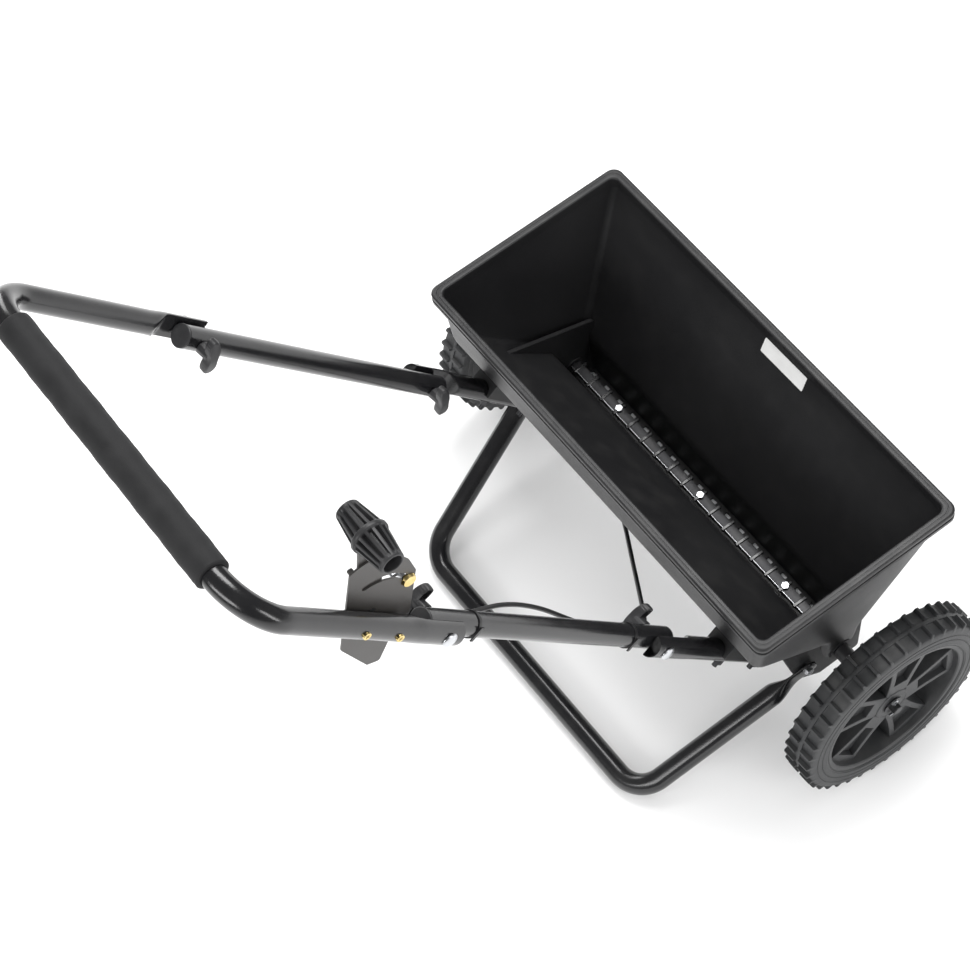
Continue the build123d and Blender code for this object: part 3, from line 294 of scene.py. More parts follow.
grain = surface_group("grain", [
    ("Fineness", "INPUT", "NodeSocketFloat", 1500.0),
    ("Ripple", "INPUT", "NodeSocketFloat", 2.0),
    ("Height", "INPUT", "NodeSocketFloat", 0.0001),
    ("Normal", "OUTPUT", "NodeSocketVector", None),
], grain_nodes)


def dust_nodes(group, given, out):
    """Pale dust where a surface faces up, broken up into drifts."""
    nodes, links = group.nodes, group.links
    place = nodes.new("ShaderNodeTexCoord")
    drifts = nodes.new("ShaderNodeTexNoise")
    drifts.inputs["Scale"].default_value = 35.0
    drifts.inputs["Detail"].default_value = 8.0
    links.new(place.outputs["Object"], drifts.inputs["Vector"])
    facing = nodes.new("ShaderNodeNewGeometry")
    parts = nodes.new("ShaderNodeSeparateXYZ")
    links.new(facing.outputs["Normal"], parts.inputs["Vector"])
    level = nodes.new("ShaderNodeMapRange")
    level.inputs["From Min"].default_value = 0.2
    level.inputs["From Max"].default_value = 1.0
    links.new(parts.outputs["Z"], level.inputs["Value"])
    drift = nodes.new("ShaderNodeMapRange")
    drift.inputs["From Min"].default_value = 0.45
    drift.inputs["From Max"].default_value = 0.75
    links.new(drifts.outputs["Fac"], drift.inputs["Value"])
    mask = nodes.new("ShaderNodeMath")
    mask.operation = "MULTIPLY"
    links.new(level.outputs["Result"], mask.inputs[0])
    links.new(drift.outputs["Result"], mask.inputs[1])
    amount = nodes.new("ShaderNodeMath")
    amount.operation = "MULTIPLY"
    links.new(mask.outputs[0], amount.inputs[0])
    links.new(given.outputs["Amount"], amount.inputs[1])
    tint = nodes.new("ShaderNodeMix")
    tint.data_type = "RGBA"
    tint.inputs["B"].default_value = (0.30, 0.29, 0.27, 1.0)
    links.new(amount.outputs[0], tint.inputs["Factor"])
    links.new(given.outputs["Color"], tint.inputs["A"])
    links.new(tint.outputs["Result"], out.inputs["Color"])


dust = surface_group("dust", [
    ("Color", "INPUT", "NodeSocketColor", (0.02, 0.02, 0.02, 1.0)),
    ("Amount", "INPUT", "NodeSocketFloat", 0.1),
    ("Color", "OUTPUT", "NodeSocketColor", None),
], dust_nodes)


def finish_of(name, dark, light, smooth, rough, patches, fineness, ripple, height, dusty=0.0,
              metal=0.0, coat=0.0, specular=0.5):
    """Material from the tone, dust and grain groups. Metal, coat and specular are the shader's own."""
    coat_material = bpy.data.materials.new(name)
    coat_material.use_nodes = True
    nodes, links = coat_material.node_tree.nodes, coat_material.node_tree.links
    shader = nodes["Principled BSDF"]
    shader.inputs["Metallic"].default_value = metal
    shader.inputs["Specular IOR Level"].default_value = specular
    shader.inputs["Coat Weight"].default_value = coat
    shader.inputs["Coat Roughness"].default_value = 0.12
    drift = nodes.new("ShaderNodeGroup")
    drift.node_tree = tone
    drift.inputs["Dark"].default_value = (*dark, 1.0)
    drift.inputs["Light"].default_value = (*light, 1.0)
    drift.inputs["Smooth"].default_value = smooth
    drift.inputs["Rough"].default_value = rough
    drift.inputs["Patches"].default_value = patches
    bumps = nodes.new("ShaderNodeGroup")
    bumps.node_tree = grain
    bumps.inputs["Fineness"].default_value = fineness
    bumps.inputs["Ripple"].default_value = ripple
    bumps.inputs["Height"].default_value = height
    links.new(drift.outputs["Roughness"], shader.inputs["Roughness"])
    links.new(bumps.outputs["Normal"], shader.inputs["Normal"])
    if dusty:
        film = nodes.new("ShaderNodeGroup")
        film.node_tree = dust
        film.inputs["Amount"].default_value = dusty
        links.new(drift.outputs["Color"], film.inputs["Color"])
        links.new(film.outputs["Color"], shader.inputs["Base Color"])
    else:
        links.new(drift.outputs["Color"], shader.inputs["Base Color"])
    return coat_material


hopper_black = finish_of("hopper_black", (0.010, 0.010, 0.011), (0.019, 0.019, 0.020),
                         0.36, 0.50, 6.0, 1400.0, 3.0, 0.00012, dusty=0.05)

rim_low, rim_high = [np.array(corner) * 1000 - axle * (0, 1, 1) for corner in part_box("hopper")]
rim_top = rim_high[2]
rim_depth = 15.0             # height of the rolled rim
rim_reach = 8.0              # rim outside the walls
wall = 3.0
wall_top = rim_top - rim_depth
floor_below = -rim_low[2]
trough_half = 28.0
corner_outside = 11.0
knee_softness = 14           # millimetres of wall over which each knee is rounded
rear_knee, rear_bend, front_knee = 50.0, 160.0, 36.0     # heights above the axle
end_half, end_slope = 246.0, 0.17        # end walls at the axle's height, and how they flare
wall_bow = 0.8


def soften(line):
    """Moving average of a line that is carried straight on past its ends."""
    longer = np.pad(line, knee_softness, mode="reflect", reflect_type="odd")
    window = np.ones(knee_softness) / knee_softness
    return np.convolve(longer, window, mode="same")[knee_softness:-knee_softness]


heights = np.arange(-floor_below, wall_top + 1.0)
rear_line = soften(np.interp(heights, [-floor_below, rear_knee, rear_bend, wall_top],
                             [-trough_half, -trough_half, *[rim_low[1] + rim_reach] * 2]))
front_line = soften(np.interp(heights, [-floor_below, front_knee, wall_top],
                              [trough_half, trough_half, rim_high[1] - rim_reach]))


def tub_ring(height, offset, corner):
    """Rounded rectangle round the tub at a height: the walls' outline there, moved out by an
    offset. Corners are quarter circles, and the long sides bow inward by a parabola."""
    level = min(height, wall_top)
    half = end_half + end_slope * level + offset
    rear = np.interp(level, heights, rear_line) - offset
    front = np.interp(level, heights, front_line) + offset
    turn = np.linspace(0, pi / 2, 7)
    arcs = []
    for quarter, (x, y) in enumerate(((half, front), (-half, front), (-half, rear), (half, rear))):
        angle = turn + quarter * pi / 2
        inward = 1 if quarter < 2 else -1
        arcs.append(np.stack([x + corner * (np.cos(angle) - np.sign(x)),
                              y + corner * (np.sin(angle) - inward)], -1))
    loop = []
    bow = wall_bow * np.sin(pi * (level + floor_below) / (wall_top + floor_below))
    share = np.linspace(0, 1, 9)[1:-1, None]
    for index, part in enumerate(arcs):
        start, end = part[-1], arcs[(index + 1) % 4][0]
        side = start + (end - start) * share
        if index % 2 == 0:
            side[:, 1] -= np.sign(start[1]) * bow * 4 * (share * (1 - share))[:, 0]
        loop += [part, side]
    loop = np.concatenate(loop)
    return np.column_stack([loop[:, 0], loop[:, 1] + axle[1], np.full(len(loop), height + axle[2])])


# rows of (height, offset from the wall, corner radius): up the outside, over the rim, down inside
arc = np.linspace(0, pi / 2, 6)
edge = 2.4                   # rounding of the rim's edges
wall_rows = [-10, 0, 20, 30, 36, 42, 48, 54, 62, 80, 100, 120, 140, 150, 156, 162, 168, 180, 200]
profile = [(-floor_below, -wall / 2, 8), (-floor_below, -1.2, 9), (-floor_below + 1.2, 0, 10)]
profile += [(row, 0, corner_outside) for row in wall_rows]
profile += [(wall_top - 1, 0, corner_outside), (wall_top, 0.6, corner_outside)]
profile += [(wall_top, rim_reach - 1.2, 11.5), (wall_top + 0.5, rim_reach - 0.3, 12),
            (wall_top + 1.2, rim_reach, 12)]
profile += [(wall_top + rise, rim_reach - sink, 12) for rise, sink in
            ((5.2, 0), (5.7, 0.4), (6.0, 1.4), (8.6, 1.4), (9.0, 0.5), (9.5, 0.1))]
profile += [(rim_top - edge * (1 - sin(a)), rim_reach - edge * (1 - cos(a)), 12) for a in arc]
profile += [(rim_top - 0.1, 3.4, 11), (rim_top - 0.5, 3.0, 11), (rim_top - 0.5, 2.2, 11),
            (rim_top - 0.1, 1.8, 10.5)]
profile += [(rim_top - edge * (1 - cos(a)), -0.6 - edge * sin(a), 9) for a in arc]
profile += [(row, -wall, 8)
            for row in (wall_top + 2, wall_top - 1, *wall_rows[::-1], -floor_below + 6)]
profile += [(-floor_below + 3.6, -wall - 0.6, 7.5), (-floor_below + 2.4, -wall - 1.6, 7),
            (-floor_below, -wall - 1.6, 7), (-floor_below, -wall / 2, 8)]
tub = np.array([tub_ring(*row) for row in profile])

hole_pitch = 25.4
hole_count = 19
hole_row = 17.0              # each row of holes from the axle's plane
hole_half = (4.5, 4.0)
hole_x = (np.arange(hole_count) - (hole_count - 1) / 2) * hole_pitch


def slotted_slab(half_x, half_y, low, high):
    """Corners and faces of a slab with two rows of rectangular holes. Its plan is cut into cells
    at the holes' edges: solid cells get a top and a bottom, and a side wherever they meet air."""
    x = np.sort(np.concatenate([[-half_x, half_x], hole_x - hole_half[0], hole_x + hole_half[0]]))
    near, far = hole_row - hole_half[1], hole_row + hole_half[1]
    y = np.array([-half_y, -far, -near, near, far, half_y])
    solid = np.ones((len(x) - 1, len(y) - 1), bool)
    solid[1::2, 1::2] = False
    nx, ny = len(x), len(y)
    px, py = np.meshgrid(x, y, indexing="ij")
    flat = np.column_stack([px.ravel(), py.ravel()])
    points = np.concatenate([np.column_stack([flat, np.full(nx * ny, z)]) for z in (low, high)])
    number = np.arange(nx * ny).reshape(nx, ny)
    lift = nx * ny
    i, j = np.nonzero(solid)
    a, b, c, d = number[i, j], number[i + 1, j], number[i + 1, j + 1], number[i, j + 1]
    faces = [np.stack([a, b, c, d], -1) + lift, np.stack([a, d, c, b], -1)]
    padded = np.pad(solid, 1)
    for di, dj, first, second in ((1, 0, b, c), (-1, 0, d, a), (0, 1, c, d), (0, -1, a, b)):
        open_side = ~padded[i + 1 + di, j + 1 + dj]
        s, e = first[open_side], second[open_side]
        faces.append(np.stack([s, e, e + lift, s + lift], -1))
    return points, np.concatenate(faces)


seat_run = (118.0, 238.0)                # the seats' ends, down the tube from the lower fold
seat_half, channel_radius = 16.0, 12.9


def seat_block(sign):
    """Seat under the rear slope: a block whose lower edge is a round channel for the tube and
    whose top runs into the wall. Stations run down the tube, each a loop round the block. The
    slope lies at 45 degrees, so y + z is the same all over it, and that gives the block's reach."""
    stations = np.linspace(*seat_run, 9)
    centre = on_arm(-stations, 0.0)
    slope_sum = rear_line[0] + rear_knee + axle[1] + axle[2]
    reach = (slope_sum - centre[:, 1] - centre[:, 2]) / (outward[1] + outward[2]) + wall / 2
    turn = np.linspace(pi, 0, 13)
    loop_x = np.concatenate([[-seat_half, -seat_half, -channel_radius], channel_radius * np.cos(turn),
                             [channel_radius, seat_half, seat_half]])
    low = np.concatenate([[0, 0, 0], channel_radius * np.sin(turn), [0, 0, 0]])
    height = np.tile(low + 0.01, (len(stations), 1))
    height[:, [0, -1]] = reach[:, None]
    return closed(on_arm(-stations[:, None], sign * outer_x + loop_x[None, :], height))


def round_corners(outline, radius, steps=5):
    """Outline with each corner replaced by a short quadratic curve between points that stand
    one radius along its two sides."""
    first, last = [outline + unit(np.roll(outline, step, axis=0) - outline) * radius for step in (1, -1)]
    share = np.linspace(0, 1, steps)[None, :, None]
    curve = ((1 - share) ** 2 * first[:, None] + 2 * share * (1 - share) * outline[:, None]
             + share**2 * last[:, None])
    return curve.reshape(-1, outline.shape[1])


def shrink(loop, distance):
    """Loop moved toward its inside by a distance, square to the line between its neighbours."""
    along = unit(np.roll(loop, -1, axis=0) - np.roll(loop, 1, axis=0))
    normal = np.column_stack([-along[:, 1], along[:, 0]])
    area = np.sum(loop[:, 0] * np.roll(loop[:, 1], -1) - np.roll(loop[:, 0], -1) * loop[:, 1])
    return loop + normal * distance * np.sign(area)


bracket_x = 241.0            # inner face of each end bracket
bracket_outline = [(-90, 112), (-66, 18), (-58, -4), (-28, -27), (28, -27), (36, 62)]


def bracket_plate(sign):
    """End bracket: a flat outline with rounded corners, given thickness with softened edges."""
    loop = round_corners(np.array(bracket_outline, float), 6.0)
    layers = [(0.0, 0.8), (0.8, 0.0), (4.2, 0.0), (5.0, 0.8)]
    return closed(np.array([np.column_stack([np.full(len(loop), sign * (bracket_x + depth)),
                                             shrink(loop, inset) + axle[1:]])
                            for depth, inset in layers]))


skin("hopper_tub", [tub] + [make(sign) for make in (seat_block, bracket_plate) for sign in (-1, 1)],
     hopper_black, "frame", ["hopper"])
floor_points, floor_faces = slotted_slab(239.5, 26.6, -floor_below + 0.1, -floor_below + 3.1)
floor_slab = bpy.data.meshes.new("hopper_floor")
floor_slab.from_pydata(((floor_points + axle) / 1000).tolist(), [], floor_faces.tolist())
floor_slab.materials.append(hopper_black)
hopper_floor = bpy.data.objects.new("hopper_floor", floor_slab)
bpy.context.scene.collection.objects.link(hopper_floor)
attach(hopper_floor, "frame")

# ---------------------------------------------------------------- tubes, handle and stand
# All the tubes are 25 mm steel with a gloss black powder coat. The handle's outer tubes are
# crushed to a half round at each fold, and the stand's ends are pressed flat for their bolts.
tube_wall = 1.2
lower_length = 245.0                     # lower tube below its fold bolt
tube_past = 20.0                         # tube past each fold bolt
crush_length, crush_ease = 38.0, 27.0    # full crush from the bolt, and the run back to round
handle_top = 684.0
handle_bend = 50.0
powder_black = finish_of("powder_black", (0.006, 0.006, 0.007), (0.012, 0.012, 0.013),
                         0.16, 0.27, 9.0, 700.0, 4.0, 0.00010, dusty=0.03, coat=0.25)


def bent_line(corners, bend=1.0, gap=3.0):
    """Straight runs joined by arcs of one radius, as close points, with each point's distance along the
    line.
    """
    corners = np.array(corners, float)
    points = [corners[0]]
    for before, corner, after in zip(corners, corners[1:], corners[2:]):
        a, b = unit(before - corner), unit(after - corner)
        half = np.arccos(np.clip(a @ b, -1, 1)) / 2
        centre = corner + unit(a + b) * bend / np.sin(half)
        start, end = [corner + way * bend / np.tan(half) - centre for way in (a, b)]
        sweep = pi - 2 * half
        turn = np.linspace(0, 1, 22)[:, None] * sweep
        points += list(centre + (start * np.sin(sweep - turn) + end * np.sin(turn)) / np.sin(sweep))
    points.append(corners[-1])
    points = np.array(points)
    length = np.concatenate([[0], np.cumsum(np.linalg.norm(np.diff(points, axis=0), axis=1))])
    station = np.linspace(0, length[-1], int(length[-1] / gap) + 1)
    return np.column_stack([np.interp(station, length, points[:, k]) for k in range(3)]), station


def carried(points, side_axis, section):
    """A ring of section points carried along a line. side_axis is square to the line's plane;
    section gives each station's distances (sideways, along side_axis) from the line."""
    ahead = unit(np.gradient(points, axis=0))
    sideways = unit(np.cross(ahead, side_axis))
    over = np.cross(sideways, ahead)
    return points[:, None] + section[..., :1] * sideways[:, None] + section[..., 1:] * over[:, None]


ring_angle = np.linspace(0, 2 * pi, 40, endpoint=False)


def tube_section(crush, radius):
    """Round section whose inner half is pressed toward its middle: crush 0 leaves it round, and
    crush 1 leaves a half round a little wider than the tube. The crease between is soft."""
    crush = np.asarray(crush, float)[:, None]
    sideways = radius * np.cos(ring_angle)[None, :]
    flat = -radius + crush * (radius + 0.3)
    pressed = (sideways + flat + np.sqrt((sideways - flat) ** 2 + (1.6 * crush) ** 2)) / 2
    return np.stack([pressed, radius * np.sin(ring_angle)[None, :] * (1 + 0.07 * crush)], -1)


def open_tube(points, side_axis, crush):
    """Tube with its wall showing at both open ends: the outer skin, then a short inner skin that
    ends in a floor out of sight."""
    outer = carried(points, side_axis, tube_section(crush, tube_radius))
    inside = carried(points, side_axis, tube_section(crush, tube_radius - tube_wall))
    plug = max(2, int(14 / np.linalg.norm(points[1] - points[0])))
    return closed(np.concatenate([inside[plug:plug + 1], inside[:1], outer, inside[-1:],
                                  inside[-1 - plug:-plug]]))


def eased(station, start, full):
    """Ramp from 0 to 1 between two stations: share squared times (3 - 2 share)."""
    share = np.clip((station - start) / (full - start), 0, 1)
    return share**2 * (3 - 2 * share)


def squared_off(wave, power):
    """A sine or cosine to a power, its sign kept: under 1, a circle swells toward a square."""
    return np.sign(wave) * np.abs(wave) ** power


for hand, sign in (("left", -1), ("right", 1)):
    side_axis = outward * -sign
    line, station = bent_line([on_arm(-lower_length, sign * outer_x), on_arm(tube_past, sign * outer_x)])
    crush_start = lower_length - crush_length
    press = eased(station, crush_start - crush_ease, crush_start)
    skin(f"lower_tube_{hand}_painted", [open_tube(line, side_axis, press)], powder_black, "frame",
         [f"lower_tube_{hand}"])
    line, station = bent_line([on_arm(-tube_past, sign * middle_x),
                               on_arm(middle_length + tube_past, sign * middle_x)])
    skin(f"middle_tube_{hand}_painted", [open_tube(line, side_axis, 0 * station)], powder_black,
         "middle_handle", [f"middle_tube_{hand}"])

handle_foot = middle_length - tube_past
line, station = bent_line([on_arm(handle_foot, outer_x), on_arm(handle_top, outer_x),
                           on_arm(handle_top, -outer_x), on_arm(handle_foot, -outer_x)], handle_bend)
crush_end = tube_past + crush_length
press = 1 - eased(np.minimum(station, station[-1] - station), crush_end, crush_end + crush_ease)
skin("upper_handle_painted", [open_tube(line, -outward, press)], powder_black, "upper_handle",
     ["upper_handle"])

stand_hang = axle + (248.1, -48.0, 12.0)                             # the right-hand bolt
stand_foot = np.array([202.0, axle[1] - 258.0, tube_radius])         # the right-hand bend
stand_bend = 42.0
eye_radius, eye_half_thick = 12.0, 2.0   # the flattened end round each bolt
flip = np.array([-1.0, 1.0, 1.0])
stand_leg = unit(stand_foot - stand_hang)
stand_top = stand_hang - stand_leg * eye_radius
line, station = bent_line([stand_top, stand_foot, stand_foot * flip, stand_top * flip],
                          stand_bend, gap=2.0)
near_end = np.minimum(station, station[-1] - station)
flat = 1 - eased(near_end, 30.0, 62.0)
past_bolt = np.clip(eye_radius - near_end, 0, None)
eye_half_wide = np.sqrt(np.clip(eye_radius**2 - past_bolt**2, 0.5, None))
squareness = 1 - 0.45 * flat[:, None]
stand_section = np.stack([
    (tube_radius + (half - tube_radius) * flat)[:, None] * squared_off(wave, squareness)
    for half, wave in ((eye_half_thick, np.cos(ring_angle)), (eye_half_wide, np.sin(ring_angle)))], -1)
stand_axis = np.cross(stand_leg, (1.0, 0.0, 0.0))
skin("stand_painted", [closed(carried(line, stand_axis, stand_section))], powder_black, "frame",
     ["stand"])

# ---------------------------------------------------------------- tube end caps
# Pushed-in discs of black polyethylene close the ends of the two middle tubes.


def turned(profile, base, direction, count=40, shape=None):
    """Surface of revolution: (distance along, radius) pairs turned about an axis. shape may change
    the radius at each angle and distance."""
    profile = np.array(profile, float)
    direction = unit(np.array(direction, float))
    first = unit(np.cross(direction, (0.0, 0.0, 1.0)))
    second = np.cross(direction, first)
    angle = np.linspace(0, 2 * pi, count, endpoint=False)
    radius = np.repeat(profile[:, 1:], count, axis=1)
    if shape is not None:
        radius = shape(angle[None, :], profile[:, :1], radius)
    spokes_out = np.cos(angle)[:, None] * first + np.sin(angle)[:, None] * second
    return np.array(base, float) + profile[:, :1, None] * direction + radius[..., None] * spokes_out


knob_plastic = finish_of("knob_plastic", (0.014, 0.014, 0.015), (0.026, 0.026, 0.028),
                         0.34, 0.5, 30.0, 1800.0, 2.0, 0.00008, dusty=0.05)
cap_profile = [(-12, 0), (-12, 10), (-11, 11.2), (0, 11.2), (0.01, 12.0), (0.5, 12.5),
               (1.6, 12.5), (2.3, 11.9), (2.5, 11.0), (2.3, 9.0), (2.3, 0)]
caps = [turned(cap_profile, on_arm(end, sign * middle_x), uphill * way)
        for sign in (-1, 1) for end, way in ((-tube_past, -1), (middle_length + tube_past, 1))]
skin("tube_caps", caps, knob_plastic, "middle_handle", ["middle_tube_caps"])

# ---------------------------------------------------------------- foam grip
# A sleeve of closed-cell foam slid over the handle's cross tube, skinned and slightly uneven.
foam = finish_of("foam", (0.010, 0.010, 0.011), (0.020, 0.020, 0.021),
                 0.62, 0.78, 40.0, 2600.0, 1.0, 0.00016, specular=0.35)
foam_half, foam_radius = 161.5, 16.7
foam_end = [(0, 12.6), (0, 14.6), (0.4, 15.8), (1.4, 16.6)]
spots = np.linspace(-foam_half, foam_half, 110)[1:-1]
swell = 0.18 * np.sin(spots * 0.11) + 0.12 * np.sin(spots * 0.29 + 1.0)
foam_profile = [(-foam_half + sink, r) for sink, r in foam_end]
foam_profile += list(zip(spots, foam_radius + swell))
foam_profile += [(foam_half - sink, r) for sink, r in foam_end[::-1]]
foam_grip = skin("foam_sleeve", [closed(turned(foam_profile, on_arm(handle_top, 0.0), (1, 0, 0), 48))],
                 foam, "upper_handle", ["foam_grip"])

# ---------------------------------------------------------------- fold bolts and wing knobs
# Zinc-plated carriage bolts join the tubes, domed heads outside. Each is tightened by an arched
# wing knob of black nylon, ribbed along its sides and hollow toward the tube.
zinc = finish_of("zinc", (0.50, 0.51, 0.53), (0.66, 0.67, 0.69),
                 0.22, 0.38, 60.0, 2200.0, 1.0, 0.00005, metal=1.0)
bolt_profile = [(0, 0), (0, 6.0), (0.01, 8.2), (0.4, 8.4)]
bolt_profile += [(0.4 + 2.7 * sin(a), 8.3 * cos(a)) for a in np.linspace(0, pi / 2, 9)[:-1]] + [(3.0, 0)]
thread_profile = [(0, 0), (0, 2.5), (0.6, 3.0)]
thread_profile += [(1 + 0.5 * k, 3.0 - 0.25 * (k % 2)) for k in range(60)]
knob_face = middle_x - tube_radius - 0.4
knob_hub = 13.0              # length of a knob's hub
bolt_tip = knob_face - knob_hub + 1.6
thread_profile += [(outer_x + tube_radius - bolt_tip, r) for r in (3.0, 0)]
for level, along, body in (("lower", 0.0, "frame"), ("upper", middle_length, "upper_handle")):
    bolts = []
    for sign in (-1, 1):
        bolts.append(turned(bolt_profile, on_arm(along, sign * (outer_x + tube_radius)), (sign, 0, 0)))
        bolts.append(turned(thread_profile, on_arm(along, sign * bolt_tip), (sign, 0, 0), 20))
    skin(f"{level}_carriage_bolts", bolts, zinc, body, [f"{level}_fold_bolts"])

# rows of (drop from the wing's top, share of its outline, ribbed or not), over the edge and back
wing_rows = [(0.0, 0.12, 0), (0.0, 0.45, 0), (0.0, 0.80, 0), (0.5, 0.93, 0), (1.8, 0.99, 1),
             (4.0, 1.0, 1), (7.5, 1.0, 1), (10.8, 0.97, 1), (11.6, 0.92, 0), (11.7, 0.82, 0),
             (11.0, 0.74, 0), (4.5, 0.70, 0), (3.4, 0.60, 0), (3.2, 0.2, 0)]


def wing_grip(sign, along, turn):
    """Arched wing: rings from the middle of its outer face, over the edge, and back up inside the
    hollow. Its height falls by a parabola toward the tips, and ribs run down its sides."""
    angle = np.linspace(0, 2 * pi, 96, endpoint=False)
    long_half, wide_half, depth = 20.0, 6.5, 12.0
    lengthwise = squared_off(np.cos(angle), 0.62) * long_half
    crosswise = squared_off(np.sin(angle), 0.72) * wide_half
    waist = 1 - 0.22 * np.exp(-(lengthwise / 7.0) ** 2)
    ribs = 1 + 0.035 * np.cos(lengthwise * 2 * pi / 2.6)
    rings = []
    for drop, spread, ribbed in wing_rows:
        x = lengthwise * (0.5 + 0.5 * spread if spread > 0.7 else spread)
        y = crosswise * spread * waist * (ribs if ribbed else 1)
        arch = 4.2 * (x / long_half) ** 2
        z = depth - drop * (1 - arch / depth * 0.55) - arch
        rings.append(np.stack([x, y, z], -1))
    rings = closed(np.array(rings))
    base = on_arm(along, sign * (knob_face - knob_hub + 3.0))
    long_axis = np.array([0.0, cos(turn), sin(turn)])
    out_axis = np.array([-sign, 0.0, 0.0])
    wide_axis = np.cross(out_axis, long_axis)
    return base + rings[..., :1] * long_axis + rings[..., 1:2] * wide_axis + rings[..., 2:] * out_axis


def fluted(angle, along, radius):
    """Radius with nine shallow waves round it."""
    return radius * (1 + 0.03 * np.cos(9 * angle) * (radius > 1))


knobs = (("lower_left", -1, 0.0, 75.0), ("lower_right", 1, 0.0, 25.0),
         ("upper_left", -1, middle_length, 60.0), ("upper_right", 1, middle_length, 35.0))
hub_profile = [(0, 0), (0, 6.6), (0.5, 7.2), (1.2, 7.4), (8, 6.6), (knob_hub, 6.2),
               (knob_hub + 2, 5.6), (knob_hub + 2, 0)]
for place, sign, along, degrees in knobs:
    hub = turned(hub_profile, on_arm(along, sign * knob_face), (-sign, 0, 0), 36, fluted)
    skin(f"{place}_wing_knob", [hub, wing_grip(sign, along, radians(degrees))], knob_plastic,
         f"{place}_knob", [f"{place}_knob"])

# ---------------------------------------------------------------- wheels and treads
# Each wheel is one charcoal moulding: hub, five hollow flared spokes and a ring, with a harder
# tread ring pressed over it that carries two staggered rows of cross bars and a middle band.
wheel_plastic = finish_of("wheel_plastic", (0.020, 0.021, 0.022), (0.034, 0.035, 0.037),
                          0.40, 0.56, 14.0, 1500.0, 2.5, 0.00010, dusty=0.07)
tread_plastic = finish_of("tread_plastic", (0.017, 0.018, 0.019), (0.030, 0.031, 0.033),
                          0.42, 0.62, 18.0, 1500.0, 2.5, 0.00012, dusty=0.10)
wheel_middle, wheel_radius = 322.5, 127.0
bar_count, bar_height = 40, 5.0
# the tread's section from side to middle: distance out, radius, and share of the bar's height
tread_section = [(21, 99, 0), (21, 104.6, 0), (20.6, 105.0, 0), (20.1, 105.6, 0), (20.6, 106.3, 0),
                 (21, 106.8, 0), (21, 111.6, 0), (20.2, 112.3, 0), (20.2, 113.0, 0), (20.8, 113.6, 0),
                 (20.6, 117.0, 0), (20.0, 119.6, 0.25), (19.4, 120.8, 0.8), (18.8, 121.5, 1),
                 (18.0, 121.8, 1), (10, 122.0, 1), (4.4, 122.0, 1), (3.4, 122.0, 1),
                 (2.6, 122.2, 0.25), (2.3, 123.4, 0), (0.8, 123.7, 0)]


def round_wheel(w, r, angle, sign):
    """Points of a wheel: distance out from its middle plane, radius, and angle round the axle."""
    w, r, angle = np.broadcast_arrays(w, r, angle)
    return np.stack([sign * (wheel_middle + w), axle[1] + r * np.sin(angle),
                     axle[2] + r * np.cos(angle)], -1)


def tread_ring(sign):
    """Closed ring: a profile round the tread's section, swept about the axle. On the rolling face
    the radius rises to the bars, one row a half pitch on from the other."""
    edges = np.array([-0.125, -0.075, 0.0, 0.075, 0.125, 0.375, 0.425, 0.5, 0.575, 0.625])
    turn = ((np.arange(bar_count)[:, None] + edges) / bar_count).ravel() * 2 * pi
    share = np.tile(edges, bar_count)
    rings = []
    for side, bar_middle, rows in ((1, 0.5, tread_section), (-1, 0.0, tread_section[::-1])):
        on_bar = np.abs(share - bar_middle) < 0.1
        for w, r, rise in rows:
            top = min(bar_height, wheel_radius - r)
            rings.append(round_wheel(side * w, r + top * rise * on_bar, turn, sign))
    return np.array(rings + rings[:1])


def spoke(sign, turn):
    """Hollow spoke: loops that run out one flared side and back along the other, from the floor of
    one face's pocket, over both faces, to the floor of the other's."""
    def loop(low, high, inset, w):
        """Loop at one height w: the half width grows as a power of the distance from the hub."""
        reach = np.concatenate([np.linspace(low, high, 14), np.linspace(high, low, 14)])
        half = 15.5 + 14.0 * np.clip((reach - 20) / 72, 0, 1) ** 1.6 - inset
        way = np.repeat([1.0, -1.0], 14)
        return round_wheel(w, np.hypot(reach, half), turn + np.arctan2(way * half, reach), sign)

    face, floor_w = 12.0, 4.0    # a spoke's face and the floor of its pocket, from the middle plane
    rows = [(40, 77.5, 8.6, floor_w), (38.5, 79.0, 7.6, floor_w + 0.6), (38, 80.0, 7.2, face - 0.5),
            (37.5, 80.5, 6.8, face), (16, 92.0, 0.6, face), (15.6, 92.4, 0.0, face - 0.6)]
    rings = [loop(*row) for row in rows] + [loop(*row[:3], -row[3]) for row in rows[::-1]]
    return closed(np.array(rings))


ring_section = [(-21, 91.2), (-20.4, 90.4), (-12, 89.0), (0, 88.6), (12, 89.0), (18.2, 90.4),
                (19.4, 91.6), (19.8, 93.4), (19.8, 95.6), (19.2, 96.2), (19.2, 97.0), (20.4, 97.8),
                (20.6, 99.05), (-20.6, 99.05), (-21, 97.8), (-21, 91.2)]
hub_section = [(-21, 0), (-21, 17), (-20, 18.2), (-14, 22), (11.8, 22.6), (12.5, 22.2), (12.9, 21.2),
               (13.0, 20.4), (12.6, 19.8), (12.6, 14.2), (13.0, 13.6), (13.0, 9.5), (12.7, 8.8),
               (12.7, 0)]
spoke_count = 5
ring_angles = np.linspace(0, 2 * pi, 160, endpoint=False)
for name, sign, body in (("free_wheel", -1, "free_wheel"), ("drive_wheel", 1, "drive_axle")):
    ring = np.array([round_wheel(w, r, ring_angles, sign) for w, r in ring_section])
    hub = np.array([round_wheel(w, r, ring_angles[::3], sign) for w, r in hub_section])
    spokes = [spoke(sign, pi / 2 + 2 * pi * k / spoke_count) for k in range(spoke_count)]
    skin(f"{name}_moulding", [ring, hub, *spokes], wheel_plastic, body, [name])
    skin(f"{name}_bars", [tread_ring(sign)], tread_plastic, body, [f"{name}_tread"])

